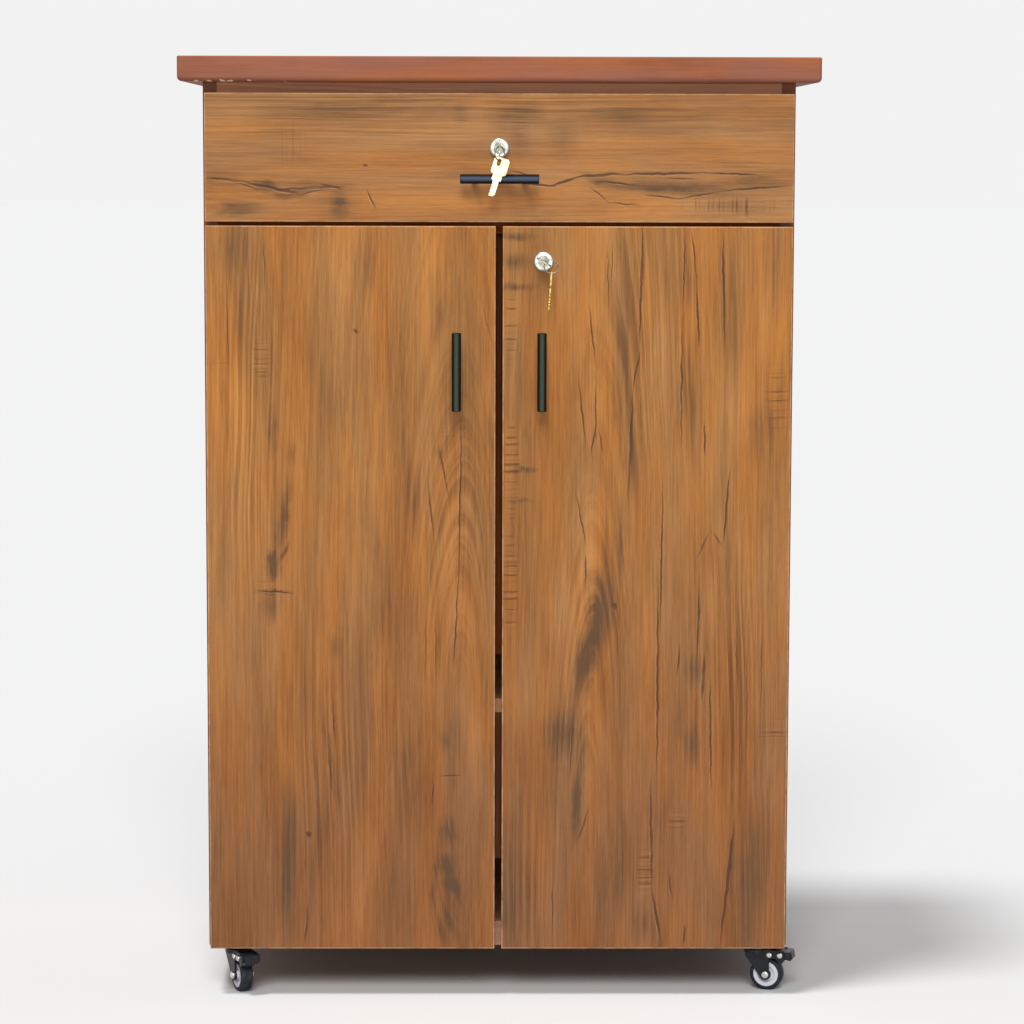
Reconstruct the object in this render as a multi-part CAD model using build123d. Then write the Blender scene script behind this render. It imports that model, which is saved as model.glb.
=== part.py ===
from build123d import *
import math
import os

# Overall layout, in millimetres. The front faces of the doors lie in the plane y = 0 while the
# pieces are drawn, and every piece is moved to the part's own origin when it is written.
front_width = 750.0
side_reveal = 3.0
board = 18.0
base_board = 16.0
case_depth = 400.0
door_bumper_gap = 3.0
front_board = 18.0
front_edge_round = 1.0

# Heights, stacked from the floor.
caster_height = 63.0
door_height = 940.0
front_gap = 5.0
drawer_front_height = 163.0
worktop_recess = 14.0
worktop_thickness = 32.0
divider_below_door_top = 10.0

# Worktop slab.
worktop_side_overhang = 30.0
worktop_front_overhang = 12.0
worktop_bottom_round = 6.0
worktop_top_round = 2.0
worktop_corner_round = 4.0

# Doors.
door_gap = 9.0
hinge_inset = 100.0
hinge_from_edge = 7.0
hinge_behind_face = 8.0
hinge_pin_diameter = 3.0
hinge_pin_length = 20.0
hinge_eye_diameter = 6.4
hinge_arm_height = 12.0
hinge_arm_sheet = 3.0
hinge_arm_reach = 62.0
hinge_plate_sheet = 1.5
hinge_plate_length = 26.0
hinge_plate_height = 52.0
hinge_plate_round = 6.0
hinge_bend_from_case = 1.0
hinge_screw_length = 13.5
hinge_screw_spacing = 32.0
cup_diameter = 35.0
cup_depth = 12.0
cup_from_edge = 20.0
cup_flange_sheet = 1.0
cup_flange_width = 14.0
cup_flange_height = 60.0
cup_flange_round = 5.0
cup_slot_reach = 12.6
cup_flange_from_edge = 35.0
cup_screw_spacing = 48.0
cup_screw_length = 10.8

# Back panel, rails, base frame and shelf.
back_sheet = 5.0
back_inset = 8.0
back_groove_depth = 6.0
top_rail_height = 52.0
base_rail_width = 80.0
shelf_top_above_floor = 390.0
shelf_front_setback = 2.0
shelf_end_clearance = 1.0
shelf_back_clearance = 2.0
shelf_pin_diameter = 5.0
shelf_pin_reach = 9.0
shelf_pin_seat = 10.0
shelf_pin_collar_diameter = 8.0
shelf_pin_collar = 1.5
shelf_pin_inset = 45.0
shelf_hole_pitch = 32.0
shelf_hole_rows = 5

# Drawer box and its three-part slides.
drawer_board = 12.0
drawer_box_height = 100.0
drawer_back_clearance = 40.0
drawer_box_above_front_bottom = 17.0
drawer_bottom_sheet = 5.0
drawer_bottom_lift = 5.0
drawer_groove_depth = 5.0
box_screw_from_side = 86.75
box_screw_from_bottom = 30.0
box_screw_from_top = 20.0
box_screw_bite = 10.8
box_screw_well = 9.0
slide_space = 13.0
slide_height = 45.0
slide_sheet = 1.2
slide_nest = 0.4
slide_length = 344.0
slide_setback = 3.0
slide_screw_inset = 40.0
slide_outer_clearance = 3.64
slide_middle_clearance = 1.4
slide_inner_clearance = 2.15
slide_case_screw_length = 10.8
slide_drawer_screw_length = 9.6

# T-bar handles.
handle_diameter = 12.0
handle_length = 100.0
handle_post_spacing = 64.0
handle_post_diameter = 8.0
handle_foot_diameter = 10.0
handle_foot_height = 2.0
handle_projection = 30.0
handle_end_chamfer = 0.8
handle_screw_bite = 10.5
handle_bore_spare = 1.5
door_handle_from_meeting_edge = 50.0
door_handle_below_top = 185.0
drawer_handle_below_top = 108.0

# Cam locks, keys and rings.
lock_collar_diameter = 25.0
lock_collar_height = 6.0
lock_collar_round = 2.2
lock_barrel_diameter = 19.0
lock_plug_diameter = 15.0
lock_plug_proud = 1.0
lock_nut_across = 24.0
lock_nut_height = 3.0
cam_width = 14.0
cam_sheet = 3.0
cam_clearance = 0.6
door_cam_setback = 6.0
cam_slot_clearance = 1.2
cam_boss_diameter = 16.8
cam_screw_diameter = 9.0
cam_screw_height = 2.5
cam_square = 7.0
drawer_cam_reach = 38.0
door_cam_reach = 41.0
cam_slot_depth = 10.0
cam_slot_half_width = 29.0
drawer_lock_below_top = 69.0
door_lock_below_top = 44.5
door_lock_from_meeting_edge = 52.0
key_sheet = 1.8
key_bow_width = 20.0
key_bow_length = 22.0
key_bow_round = 4.0
key_neck_width = 12.0
key_neck_length = 7.5
key_blade_width = 7.8
key_blade_length = 20.5
key_slot_width = 5.0
key_slot_length = 9.0
key_slot_offset = 3.0
key_slot_from_top = 2.0
key_cut_depth = 1.6
key_cut_count = 4
key_first_cut = 4.56
key_cut_pitch = 3.8
keyway_clearance = 0.3
ring_diameter = 19.0
ring_wire = 1.4
ring_seat = 1.5
drawer_spare_key_hang = 2.0
door_spare_key_hang = 1.5
ring_from_slot_end = 3.2
drawer_ring_turn = 45.0
door_ring_hang = 60.0
drawer_spare_key_tilt = 17.0
spare_key_rest_gap = 0.3
door_spare_key_tilt = 4.0
door_key_turn = 120.0

# Casters.
caster_plate_side = 42.0
caster_plate_sheet = 2.5
caster_plate_round = 4.0
caster_screw_length = 12.8
caster_inset_from_side = 36.0
caster_race_diameter = 30.0
caster_race_height = 5.5
caster_race_round = 1.5
caster_crown_diameter = 34.0
caster_crown_height = 5.0
caster_crown_hollow = 2.4
caster_pin_diameter = 8.0
caster_pin_head_diameter = 12.0
caster_pin_head_height = 1.2
caster_trail = 14.0
caster_bolt_spacing = 31.0
wheel_diameter = 43.5
wheel_width = 17.0
tyre_round = 4.0
rim_diameter = 33.0
rim_recess_diameter = 22.4
rim_recess_depth = 4.5
rim_side_setback = 0.6
rim_draft = 1.0
hub_diameter = 11.0
axle_diameter = 6.0
cheek_sheet = 2.5
cheek_clearance = 1.4
cheek_lead = 13.0
cheek_trail = 19.0
cheek_eye_radius = 7.5
cheek_shoulder_drop = 4.0
cheek_neck_drop = 2.0
ear_trail = 39.0
ear_drop = 11.0
ear_corner_width = 3.0
ear_corner_height = 4.0
rivet_head_diameter = 8.2
rivet_head_height = 2.4
rivet_head_round = 2.16
rivet_shank_diameter = 3.0
first_rivet_trail = 19.4
second_rivet_trail = 33.4
rivet_below_crown = 6.0
pedal_width = 20.0
pedal_tip_trail = 50.0
pedal_drop = 12.0
pedal_top_gap = 1.2
pedal_heel_reach = 7.0
pedal_heel_drop = 3.2
pedal_belly_reach = 6.0
pedal_belly_rise = 1.5
pedal_tip_slope = 3.0
pedal_top_setback = 2.0
pedal_wing_overhang = 3.0
pedal_wing_round = 1.5
shoe_front_reach = 2.4
shoe_back_reach = 3.0
shoe_above_axle = 15.5
axle_nut_diameter = 9.8
axle_nut_height = 3.0
axle_nut_round = 1.8
swivel_rest_degrees = {"front_left": -65.0, "front_right": -17.0, "rear_left": -40.0, "rear_right": -28.0}

# Fits shared by all the pieces.
running_fit = 0.05
hole_fit = 0.1
swing_gap = 0.4
swivel_gap = 0.3
screw_diameter = 3.5
screw_head_diameter = 7.0
screw_head_height = 2.2
screw_head_round = 1.32
cut_past = 1.0

# Worked-out planes.
case_half_width = front_width / 2 + side_reveal
inner_half_width = case_half_width - board
case_front = front_board + door_bumper_gap
case_back = case_front + case_depth
door_bottom = caster_height
door_top = door_bottom + door_height
drawer_front_bottom = door_top + front_gap
drawer_front_top = drawer_front_bottom + drawer_front_height
worktop_bottom = drawer_front_top + worktop_recess
worktop_top = worktop_bottom + worktop_thickness
hinge_levels = [hinge_inset, door_height / 2, door_height - hinge_inset]
base_frame_top = caster_height + base_board
floor_board_top = base_frame_top + base_board
divider_bottom = door_top - divider_below_door_top
back_front_plane = case_back - back_inset - back_sheet
top_rail_bottom = worktop_bottom - top_rail_height
box_bottom = drawer_front_bottom + drawer_box_above_front_bottom
box_top = box_bottom + drawer_box_height
box_half_width = inner_half_width - slide_space
box_front_back = front_board + drawer_board
box_back = back_front_plane - drawer_back_clearance
slide_level = box_bottom + drawer_box_height / 2
hinge_axis_x = front_width / 2 - hinge_from_edge
drawer_lock_z = drawer_front_top - drawer_lock_below_top
door_lock_x = door_gap / 2 + door_lock_from_meeting_edge
door_lock_z = door_top - door_lock_below_top
drawer_cam_front = case_front + board + cam_clearance
door_cam_front = case_front + door_cam_setback
handle_axis_y = -handle_projection + handle_diameter / 2
handle_screw_length = front_board + handle_screw_bite
box_screw_length = drawer_board + box_screw_bite
slide_middle_setback = slide_sheet + screw_head_height + slide_nest
slide_outer_depth = slide_space - slide_outer_clearance
slide_middle_depth = slide_space - slide_middle_setback - slide_middle_clearance
slide_inner_depth = slide_space - slide_middle_setback - slide_sheet - slide_inner_clearance
ring_radius = (ring_diameter - ring_wire) / 2
key_shoulder_y = -lock_collar_height - lock_plug_proud - running_fit
key_slot_end = key_neck_length + key_bow_length - key_slot_from_top
ring_y = key_shoulder_y - key_slot_end + ring_from_slot_end
wheel_radius = wheel_diameter / 2
caster_x = case_half_width - caster_inset_from_side
caster_front_y = case_front + caster_plate_side / 2
caster_rear_y = case_back - caster_plate_side / 2
plate_bottom = caster_height - caster_plate_sheet
race_bottom = plate_bottom - caster_race_height
crown_top = race_bottom - swivel_gap
crown_bottom = crown_top - caster_crown_height
rivet_z = crown_top - rivet_below_crown
cheek_inner = wheel_width / 2 + cheek_clearance
cheek_outer = cheek_inner + cheek_sheet


def block(x0, x1, y0, y1, z0, z1):
    """A box between two corners."""
    middle = ((x0 + x1) / 2, (y0 + y1) / 2, (z0 + z1) / 2)
    return Pos(*middle) * Box(x1 - x0, y1 - y0, z1 - z0)


def rod(start, direction, diameter, length):
    """A cylinder that starts at a point and runs along an axis direction."""
    plane = Plane(origin=start, z_dir=direction)
    return plane * Cylinder(diameter / 2, length, align=(Align.CENTER, Align.CENTER, Align.MIN))


def screw(seat, direction, length):
    """A pan-head screw: its head stands on the seat point, its shank runs along the direction."""
    back = tuple(-value for value in direction)
    head = rod(seat, back, screw_head_diameter, screw_head_height)
    rim = head.edges().filter_by(GeomType.CIRCLE).sort_by(Axis(seat, back))[-1]
    head = fillet(rim, screw_head_round)
    return head + rod(seat, direction, screw_diameter, length)


def screw_holes(seats, direction, length):
    """The holes that a group of screws passes through."""
    bore = screw_diameter + hole_fit
    return [rod(seat, direction, bore, length + hole_fit) for seat in seats]


def mirrored(shape):
    """The left-hand copy of a right-hand piece."""
    return mirror(shape, Plane.YZ)


def save(name, shape):
    """Write one node with the origin at the foot of the part's bounding box."""
    solids = shape if isinstance(shape, list) else [shape]
    moved = [Pos(0, -origin_y, 0) * solid for solid in solids]
    export_step(moved[0] if len(moved) == 1 else Compound(children=moved), f"parts/{name}.step")


# Case.
def shelf_pin_spots():
    """Depths of the two columns of shelf holes and the level of the pins in use."""
    columns = [case_front + shelf_pin_inset, back_front_plane - shelf_pin_inset]
    level = shelf_top_above_floor - board - shelf_pin_diameter / 2
    return columns, level


def hinge_plate_seats():
    """Screw seats of the right-hand hinge plates, on the inner side of the plate."""
    y = case_front + hinge_arm_reach - hinge_plate_length / 2
    x = inner_half_width - hinge_plate_sheet
    half = hinge_screw_spacing / 2
    return [(x, y, door_bottom + level + side * half) for level in hinge_levels for side in (-1, 1)]


def slide_case_seats():
    """Screw seats in the web of the right-hand outer slide member."""
    x = inner_half_width - slide_sheet
    start = case_front + slide_setback + slide_screw_inset
    end = case_front + slide_setback + slide_length - slide_screw_inset
    return [(x, y, slide_level) for y in (start, (start + end) / 2, end)]


def side_panel():
    """Right side panel with its groove for the back, shelf holes and screw holes."""
    panel = block(inner_half_width, case_half_width, case_front, case_back, caster_height, worktop_bottom)
    groove_end = inner_half_width + back_groove_depth
    panel -= block(inner_half_width - cut_past, groove_end, back_front_plane, back_front_plane + back_sheet,
                   floor_board_top, worktop_bottom + cut_past)
    columns, level = shelf_pin_spots()
    bore = shelf_pin_diameter + hole_fit
    middle_row = shelf_hole_rows // 2
    holes = [
        rod((inner_half_width - cut_past, y, level + (row - middle_row) * shelf_hole_pitch), (1, 0, 0), bore,
            shelf_pin_seat + cut_past + hole_fit)
        for y in columns
        for row in range(shelf_hole_rows)
    ]
    holes += screw_holes(hinge_plate_seats(), (1, 0, 0), hinge_screw_length)
    holes += screw_holes(slide_case_seats(), (1, 0, 0), slide_case_screw_length)
    for hole in holes:
        panel -= hole
    return panel


def worktop():
    """Thick slab with a soft lower edge at the front and ends."""
    half = case_half_width + worktop_side_overhang
    slab = block(-half, half, -worktop_front_overhang, case_back, worktop_bottom, worktop_top)
    corners = slab.edges().filter_by(Axis.Z).sort_by(Axis.Y)[:2]
    slab = fillet(corners, worktop_corner_round)
    back = case_back - cut_past
    top_rim = slab.faces().sort_by(Axis.Z)[-1].edges().filter_by(lambda edge: edge.center().Y < back)
    slab = fillet(top_rim, worktop_top_round)
    low_rim = slab.faces().sort_by(Axis.Z)[0].edges().filter_by(lambda edge: edge.center().Y < back)
    return fillet(low_rim, worktop_bottom_round)


def bottom_panel():
    """Floor board of the case."""
    return block(-inner_half_width, inner_half_width, case_front, case_back, base_frame_top, floor_board_top)


def caster_centres():
    """The four swivel axes, by corner name."""
    return {
        "front_left": (-caster_x, caster_front_y),
        "front_right": (caster_x, caster_front_y),
        "rear_left": (-caster_x, caster_rear_y),
        "rear_right": (caster_x, caster_rear_y),
    }


def caster_screw_seats():
    """Under the four plates, at the corners of each bolt square."""
    half = caster_bolt_spacing / 2
    return [
        (x + i * half, y + j * half, plate_bottom)
        for x, y in caster_centres().values()
        for i in (-1, 1)
        for j in (-1, 1)
    ]


def base_rails():
    """Flat frame of four strips that doubles the floor board and takes the caster screws."""
    low, high = caster_height, base_frame_top
    inner = inner_half_width
    front_end = case_front + base_rail_width
    back_start = case_back - base_rail_width
    strips = [
        block(-inner, inner, case_front, front_end, low, high),
        block(-inner, inner, back_start, case_back, low, high),
        block(-inner, -inner + base_rail_width, front_end, back_start, low, high),
        block(inner - base_rail_width, inner, front_end, back_start, low, high),
    ]
    for hole in screw_holes(caster_screw_seats(), (0, 0, 1), caster_screw_length):
        strips = [strip - hole if strip.bounding_box().min.Y < hole.center().Y < strip.bounding_box().max.Y
                  else strip for strip in strips]
    return strips


def divider_panel():
    """Board between the drawer and the cupboard, with the slot that the door cam turns up into."""
    top = divider_bottom + board
    panel = block(-inner_half_width, inner_half_width, case_front, back_front_plane, divider_bottom, top)
    slot_front = door_cam_front - cam_slot_clearance
    slot_back = door_cam_front + cam_sheet + cam_slot_clearance
    slot = block(door_lock_x - cam_slot_half_width, door_lock_x + cam_slot_half_width,
                 slot_front, slot_back, divider_bottom - cut_past, divider_bottom + cam_slot_depth)
    return panel - slot


def shelf():
    """Loose shelf lying on its four pins."""
    half = inner_half_width - shelf_end_clearance
    return block(-half, half, case_front + shelf_front_setback, back_front_plane - shelf_back_clearance,
                 shelf_top_above_floor - board, shelf_top_above_floor)


def shelf_pins():
    """Four collared pins pushed into the side panels."""
    columns, level = shelf_pin_spots()
    pins = []
    for y in columns:
        start = (inner_half_width - shelf_pin_reach, y, level)
        pin = rod(start, (1, 0, 0), shelf_pin_diameter, shelf_pin_reach + shelf_pin_seat)
        collar = rod((inner_half_width - shelf_pin_collar, y, level), (1, 0, 0), shelf_pin_collar_diameter,
                     shelf_pin_collar)
        past = shelf_pin_collar_diameter
        trimmed = collar - block(0, inner_half_width, y - past, y + past, level + shelf_pin_diameter / 2,
                                 level + past)
        pins += [pin + trimmed, mirrored(pin + trimmed)]
    return pins


def back_panel():
    """Thin back held in the side grooves."""
    half = inner_half_width + back_groove_depth - hole_fit
    return block(-half, half, back_front_plane + running_fit, back_front_plane + back_sheet - running_fit,
                 floor_board_top, worktop_bottom)


def top_rail(front):
    """Rail on edge between the side panels, under the worktop."""
    return block(-inner_half_width, inner_half_width, front, front + board, top_rail_bottom, worktop_bottom)


# Hinges.
def hinge_arm(level):
    """Right-hand hinge arm: plate on the side panel, straight arm, crank and the eye round the pin."""
    z = door_bottom + level
    half = hinge_arm_height / 2
    sheet = hinge_arm_sheet
    arm_outer = inner_half_width - hinge_plate_sheet
    bend = (arm_outer - sheet / 2, case_front - hinge_bend_from_case)
    pin = (hinge_axis_x, hinge_behind_face)
    far = case_front + hinge_arm_reach
    length = math.dist(bend, pin)
    angle = math.degrees(math.atan2(bend[1] - pin[1], bend[0] - pin[0]))
    crank = Pos((bend[0] + pin[0]) / 2, (bend[1] + pin[1]) / 2) * Rot(0, 0, angle) * Rectangle(length, sheet)
    outline = crank + Pos(*pin) * Circle(hinge_eye_diameter / 2) + Pos(*bend) * Circle(sheet / 2)
    outline += Pos(bend[0], (bend[1] + far) / 2) * Rectangle(sheet, far - bend[1])
    arm = extrude(Pos(0, 0, z - half) * outline, hinge_arm_height)
    arm -= rod((*pin, z - half - cut_past), (0, 0, 1), hinge_pin_diameter + 2 * running_fit,
               hinge_arm_height + 2 * cut_past)
    plate = block(arm_outer, inner_half_width, far - hinge_plate_length, far, z - hinge_plate_height / 2,
                  z + hinge_plate_height / 2)
    plate = fillet(plate.edges().filter_by(Axis.X), hinge_plate_round)
    for hole in screw_holes(hinge_plate_seats(), (1, 0, 0), hinge_screw_length):
        plate -= hole
    return arm + plate


def cup_centre_x():
    """The middle of a right-hand hinge cup."""
    return front_width / 2 - cup_from_edge


def cup_flange_seats():
    """Screw seats on the flanges of the right-hand cups."""
    x = front_width / 2 - cup_flange_from_edge
    y = front_board + cup_flange_sheet
    half = cup_screw_spacing / 2
    return [(x, y, door_bottom + level + side * half) for level in hinge_levels for side in (-1, 1)]


def hinge_cup(level):
    """Right-hand cup with its flange, slot for the arm, and the pin held across the slot."""
    z = door_bottom + level
    floor = front_board - cup_depth
    cup = rod((cup_centre_x(), floor, z), (0, 1, 0), cup_diameter, cup_depth)
    x = front_width / 2 - cup_flange_from_edge
    half_height = cup_flange_height / 2
    flange = block(x - cup_flange_width / 2, x + cup_flange_width, front_board,
                   front_board + cup_flange_sheet, z - half_height, z + half_height)
    flange = fillet(flange.edges().filter_by(Axis.Y), cup_flange_round)
    cup += flange
    half_slot = hinge_arm_height / 2 + swing_gap
    cup -= block(cup_centre_x() - cup_slot_reach, front_width, 0, front_board + cup_depth, z - half_slot,
                 z + half_slot)
    for hole in screw_holes(cup_flange_seats(), (0, -1, 0), cup_screw_length):
        cup -= hole
    pin_spot = (hinge_axis_x, hinge_behind_face, z - hinge_pin_length / 2)
    pin = rod(pin_spot, (0, 0, 1), hinge_pin_diameter, hinge_pin_length)
    return cup + pin


def hinge_pocket(level):
    """What the door gives up to a hinge: the cup bore and the notch for the arm."""
    z = door_bottom + level
    start = (cup_centre_x(), front_board - cup_depth - hole_fit, z)
    bore = rod(start, (0, 1, 0), cup_diameter + 2 * hole_fit, cup_depth + hole_fit + cut_past)
    half_slot = hinge_arm_height / 2 + 2 * swing_gap
    notch_floor = hinge_behind_face - hinge_eye_diameter / 2 - swing_gap
    notch = block(cup_centre_x() - cup_slot_reach, front_width, notch_floor, front_board + cut_past,
                  z - half_slot, z + half_slot)
    return bore + notch


# Handles.
def handle(centre, along):
    """T-bar handle with two footed posts. The bar runs along the given axis direction."""
    x, z = centre
    start = (x - along[0] * handle_length / 2, handle_axis_y, z - along[2] * handle_length / 2)
    bar = rod(start, along, handle_diameter, handle_length)
    bar = chamfer(bar.edges().filter_by(GeomType.CIRCLE), handle_end_chamfer)
    for side in (-1, 1):
        offset = side * handle_post_spacing / 2
        foot = (x + along[0] * offset, 0, z + along[2] * offset)
        bar += rod(foot, (0, -1, 0), handle_post_diameter, -handle_axis_y)
        bar += rod(foot, (0, -1, 0), handle_foot_diameter, handle_foot_height)
        bar -= rod(foot, (0, -1, 0), screw_diameter + hole_fit, handle_screw_bite + handle_bore_spare)
    return bar


def handle_seats(centre, along, back_face):
    """Where the two screws of a handle sit, behind the board that carries it."""
    x, z = centre
    half = handle_post_spacing / 2
    return [(x + s * along[0] * half, back_face, z + s * along[2] * half) for s in (-1, 1)]


door_handle_x = door_gap / 2 + door_handle_from_meeting_edge
door_handle_z = door_top - door_handle_below_top
drawer_handle_z = drawer_front_top - drawer_handle_below_top


# Doors.
def door_panel():
    """Right door board with hinge pockets and handle holes."""
    panel = block(door_gap / 2, front_width / 2, 0, front_board, door_bottom, door_top)
    rim = panel.faces().sort_by(Axis.Y)[0].edges()
    panel = fillet(rim, front_edge_round)
    for level in hinge_levels:
        panel -= hinge_pocket(level)
    holes = screw_holes(handle_seats((door_handle_x, door_handle_z), (0, 0, 1), front_board), (0, -1, 0),
                        front_board)
    holes += screw_holes(cup_flange_seats(), (0, -1, 0), cup_screw_length)
    for hole in holes:
        panel -= hole
    return panel


def lock_bore(x, z, depth):
    """The hole that a lock barrel passes through."""
    return rod((x, -cut_past, z), (0, 1, 0), lock_barrel_diameter + 2 * hole_fit, depth + 2 * cut_past)


def door_screws():
    """Handle screws and cup screws of the right door."""
    seats = handle_seats((door_handle_x, door_handle_z), (0, 0, 1), front_board)
    pieces = [screw(seat, (0, -1, 0), handle_screw_length) for seat in seats]
    return pieces + [screw(seat, (0, -1, 0), cup_screw_length) for seat in cup_flange_seats()]


# Locks.
def lock_housing(x, z, grip):
    """Collared barrel through boards of the given total thickness, with its nut behind them."""
    collar = rod((x, 0, z), (0, -1, 0), lock_collar_diameter, lock_collar_height)
    rim = collar.edges().filter_by(GeomType.CIRCLE).sort_by(Axis.Y)[0]
    collar = fillet(rim, lock_collar_round)
    barrel = rod((x, 0, z), (0, 1, 0), lock_barrel_diameter, grip + lock_nut_height)
    barrel += collar
    barrel -= rod((x, -lock_collar_height - cut_past, z), (0, 1, 0), lock_plug_diameter + 2 * running_fit,
                  grip + lock_nut_height + lock_collar_height + 2 * cut_past)
    nut_plane = Plane(origin=(x, grip, z), z_dir=(0, 1, 0))
    outline = RegularPolygon(lock_nut_across / 2, 6, major_radius=False)
    outline -= Circle(lock_barrel_diameter / 2 + hole_fit)
    nut = extrude(nut_plane * outline, lock_nut_height)
    return [barrel, nut]


def lock_plug(x, z, cam_front, reach, turn):
    """Turning plug with its keyway, square tail, cam and cam screw. The cam points to +x."""
    front = -lock_collar_height - lock_plug_proud
    shoulder = cam_front - running_fit
    plug = rod((x, front, z), (0, 1, 0), lock_plug_diameter, shoulder - front)
    half = cam_square / 2
    plug += block(x - half, x + half, shoulder, cam_front + cam_sheet, z - half, z + half)
    keyway = block(-key_sheet / 2 - keyway_clearance, key_sheet / 2 + keyway_clearance, front - cut_past,
                   front + key_blade_length + keyway_clearance, -key_blade_width / 2 - keyway_clearance,
                   key_blade_width / 2 + keyway_clearance)
    plug -= Pos(x, 0, z) * Rot(0, turn, 0) * keyway
    cam_back = cam_front + cam_sheet
    arm = block(x, x + reach - cam_width / 2, cam_front, cam_back, z - cam_width / 2, z + cam_width / 2)
    arm += rod((x, cam_front, z), (0, 1, 0), cam_boss_diameter, cam_sheet)
    arm += rod((x + reach - cam_width / 2, cam_front, z), (0, 1, 0), cam_width, cam_sheet)
    loose = half + running_fit
    arm -= block(x - loose, x + loose, cam_front - cut_past, cam_back + cut_past, z - loose, z + loose)
    head = rod((x, cam_back, z), (0, 1, 0), cam_screw_diameter, cam_screw_height)
    return [plug, arm, head]


def key():
    """Flat key, blade down, with its shoulder line at the origin and its faces square to x."""
    half = key_sheet / 2
    bow_foot = key_neck_length
    bow_top = bow_foot + key_bow_length
    bow = Pos(0, (bow_foot + bow_top) / 2) * RectangleRounded(key_bow_width, key_bow_length, key_bow_round)
    neck = Pos(0, (bow_foot + cut_past) / 2) * Rectangle(key_neck_width, bow_foot + cut_past)
    blade_middle = (cut_past - key_blade_length) / 2
    blade = Pos(0, blade_middle) * Rectangle(key_blade_width, key_blade_length + cut_past)
    outline = bow + neck + blade
    tip = key_blade_width / 2
    past = key_blade_length + cut_past
    side = tip + cut_past
    cut = Polyline((-side, -past), (-side, tip - key_blade_length), (0, -past), close=True)
    outline -= make_face(cut)
    for index in range(key_cut_count):
        level = key_first_cut + index * key_cut_pitch
        outline -= Pos(tip, -level) * Rot(0, 0, 45) * Rectangle(key_cut_depth, key_cut_depth)
    slot_middle = bow_top - key_slot_from_top - key_slot_length / 2
    slot = SlotOverall(key_slot_length, key_slot_width, rotation=90)
    outline -= Pos(key_slot_offset, slot_middle) * slot
    flat = extrude(outline, half, both=True)
    return Plane.YZ * flat


def inserted_key(x, z, turn):
    """A key pushed into a lock, bow towards the front, turned about the plug's axis."""
    return Pos(x, key_shoulder_y, z) * Rot(0, turn, 0) * Rot(90, 0, 0) * key()


def wire_point(x, z, key_turn):
    """Where a ring's wire passes through the slot of the inserted key."""
    angle = math.radians(key_turn)
    low_edge = key_slot_offset - key_slot_width / 2 + ring_seat
    return x + low_edge * math.sin(angle), z + low_edge * math.cos(angle)


def ring_centre(x, z, key_turn, ring_hang_angle):
    """Centre of a ring that hangs from the wire point, swung sideways from straight down."""
    wire_x, wire_z = wire_point(x, z, key_turn)
    angle = math.radians(ring_hang_angle)
    return wire_x + ring_radius * math.sin(angle), wire_z - ring_radius * math.cos(angle)


def key_ring(centre, ring_turn):
    """Wire ring through the inserted key's bow, turned about the vertical."""
    ring_x, ring_z = centre
    ring = Rot(90, 0, 0) * Torus(ring_radius, ring_wire / 2)
    return Pos(ring_x, ring_y, ring_z) * Rot(0, 0, ring_turn) * ring


def spare_key(centre, hang, facing, tilt, lean):
    """Key that hangs by its slot from the lowest point of a ring."""
    ring_x, ring_z = centre
    loose = Pos(0, -key_slot_offset, hang - key_slot_end) * key()
    hung = Rot(-lean, 0, 0) * Rot(0, tilt, 0) * Rot(0, 0, facing) * loose
    return Pos(ring_x, ring_y, ring_z - ring_radius) * hung


def drawer_ring():
    """Centre of the drawer's key ring, which hangs straight down."""
    return ring_centre(0, drawer_lock_z, 0, 0)


def door_ring():
    """Centre of the door's key ring, which leans to the side."""
    return ring_centre(door_lock_x, door_lock_z, door_key_turn, door_ring_hang)


def drawer_spare_key():
    """The drawer's spare key, face to the front, leaning over the handle bar."""
    drop = drawer_ring()[1] - ring_radius - drawer_handle_z
    push = ring_y + handle_projection + key_sheet / 2 + spare_key_rest_gap
    lean = math.degrees(math.atan2(push, drop))
    return spare_key(drawer_ring(), drawer_spare_key_hang, 90, drawer_spare_key_tilt, lean)


def door_spare_key():
    """The door's spare key, edge to the front."""
    return spare_key(door_ring(), door_spare_key_hang, 180, door_spare_key_tilt, 0)


# Drawer.
def box_screw_seats():
    """Screws that hold the drawer front to the box, seated inside the box."""
    x = box_half_width - box_screw_from_side
    zs = [box_bottom + box_screw_from_bottom, box_top - box_screw_from_top]
    return [(side * x, box_front_back, z) for side in (-1, 1) for z in zs]


def slide_drawer_seats():
    """Screws of the right inner slide member into the drawer side."""
    x = box_half_width + slide_sheet
    start = front_board + slide_setback + slide_screw_inset
    end = front_board + slide_setback + slide_length - slide_screw_inset
    return [(x, y, slide_level) for y in (start, end)]


def drawer_front():
    """Front board of the drawer with its lock bore and screw holes."""
    half = front_width / 2
    panel = block(-half, half, 0, front_board, drawer_front_bottom, drawer_front_top)
    panel = fillet(panel.faces().sort_by(Axis.Y)[0].edges(), front_edge_round)
    panel -= lock_bore(0, drawer_lock_z, front_board)
    seats = handle_seats((0, drawer_handle_z), (1, 0, 0), front_board)
    for hole in screw_holes(seats, (0, -1, 0), front_board):
        panel -= hole
    for hole in screw_holes(box_screw_seats(), (0, -1, 0), box_screw_length):
        panel -= hole
    return panel


def drawer_side():
    """Right side of the drawer box with the groove for the bottom."""
    panel = block(box_half_width - drawer_board, box_half_width, front_board, box_back, box_bottom, box_top)
    low = box_bottom + drawer_bottom_lift
    inner = box_half_width - drawer_board
    panel -= block(inner - cut_past, inner + drawer_groove_depth, box_front_back - drawer_groove_depth,
                   box_back - drawer_board + drawer_groove_depth, low, low + drawer_bottom_sheet)
    for hole in screw_holes(slide_drawer_seats(), (-1, 0, 0), slide_drawer_screw_length):
        panel -= hole
    return panel


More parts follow.
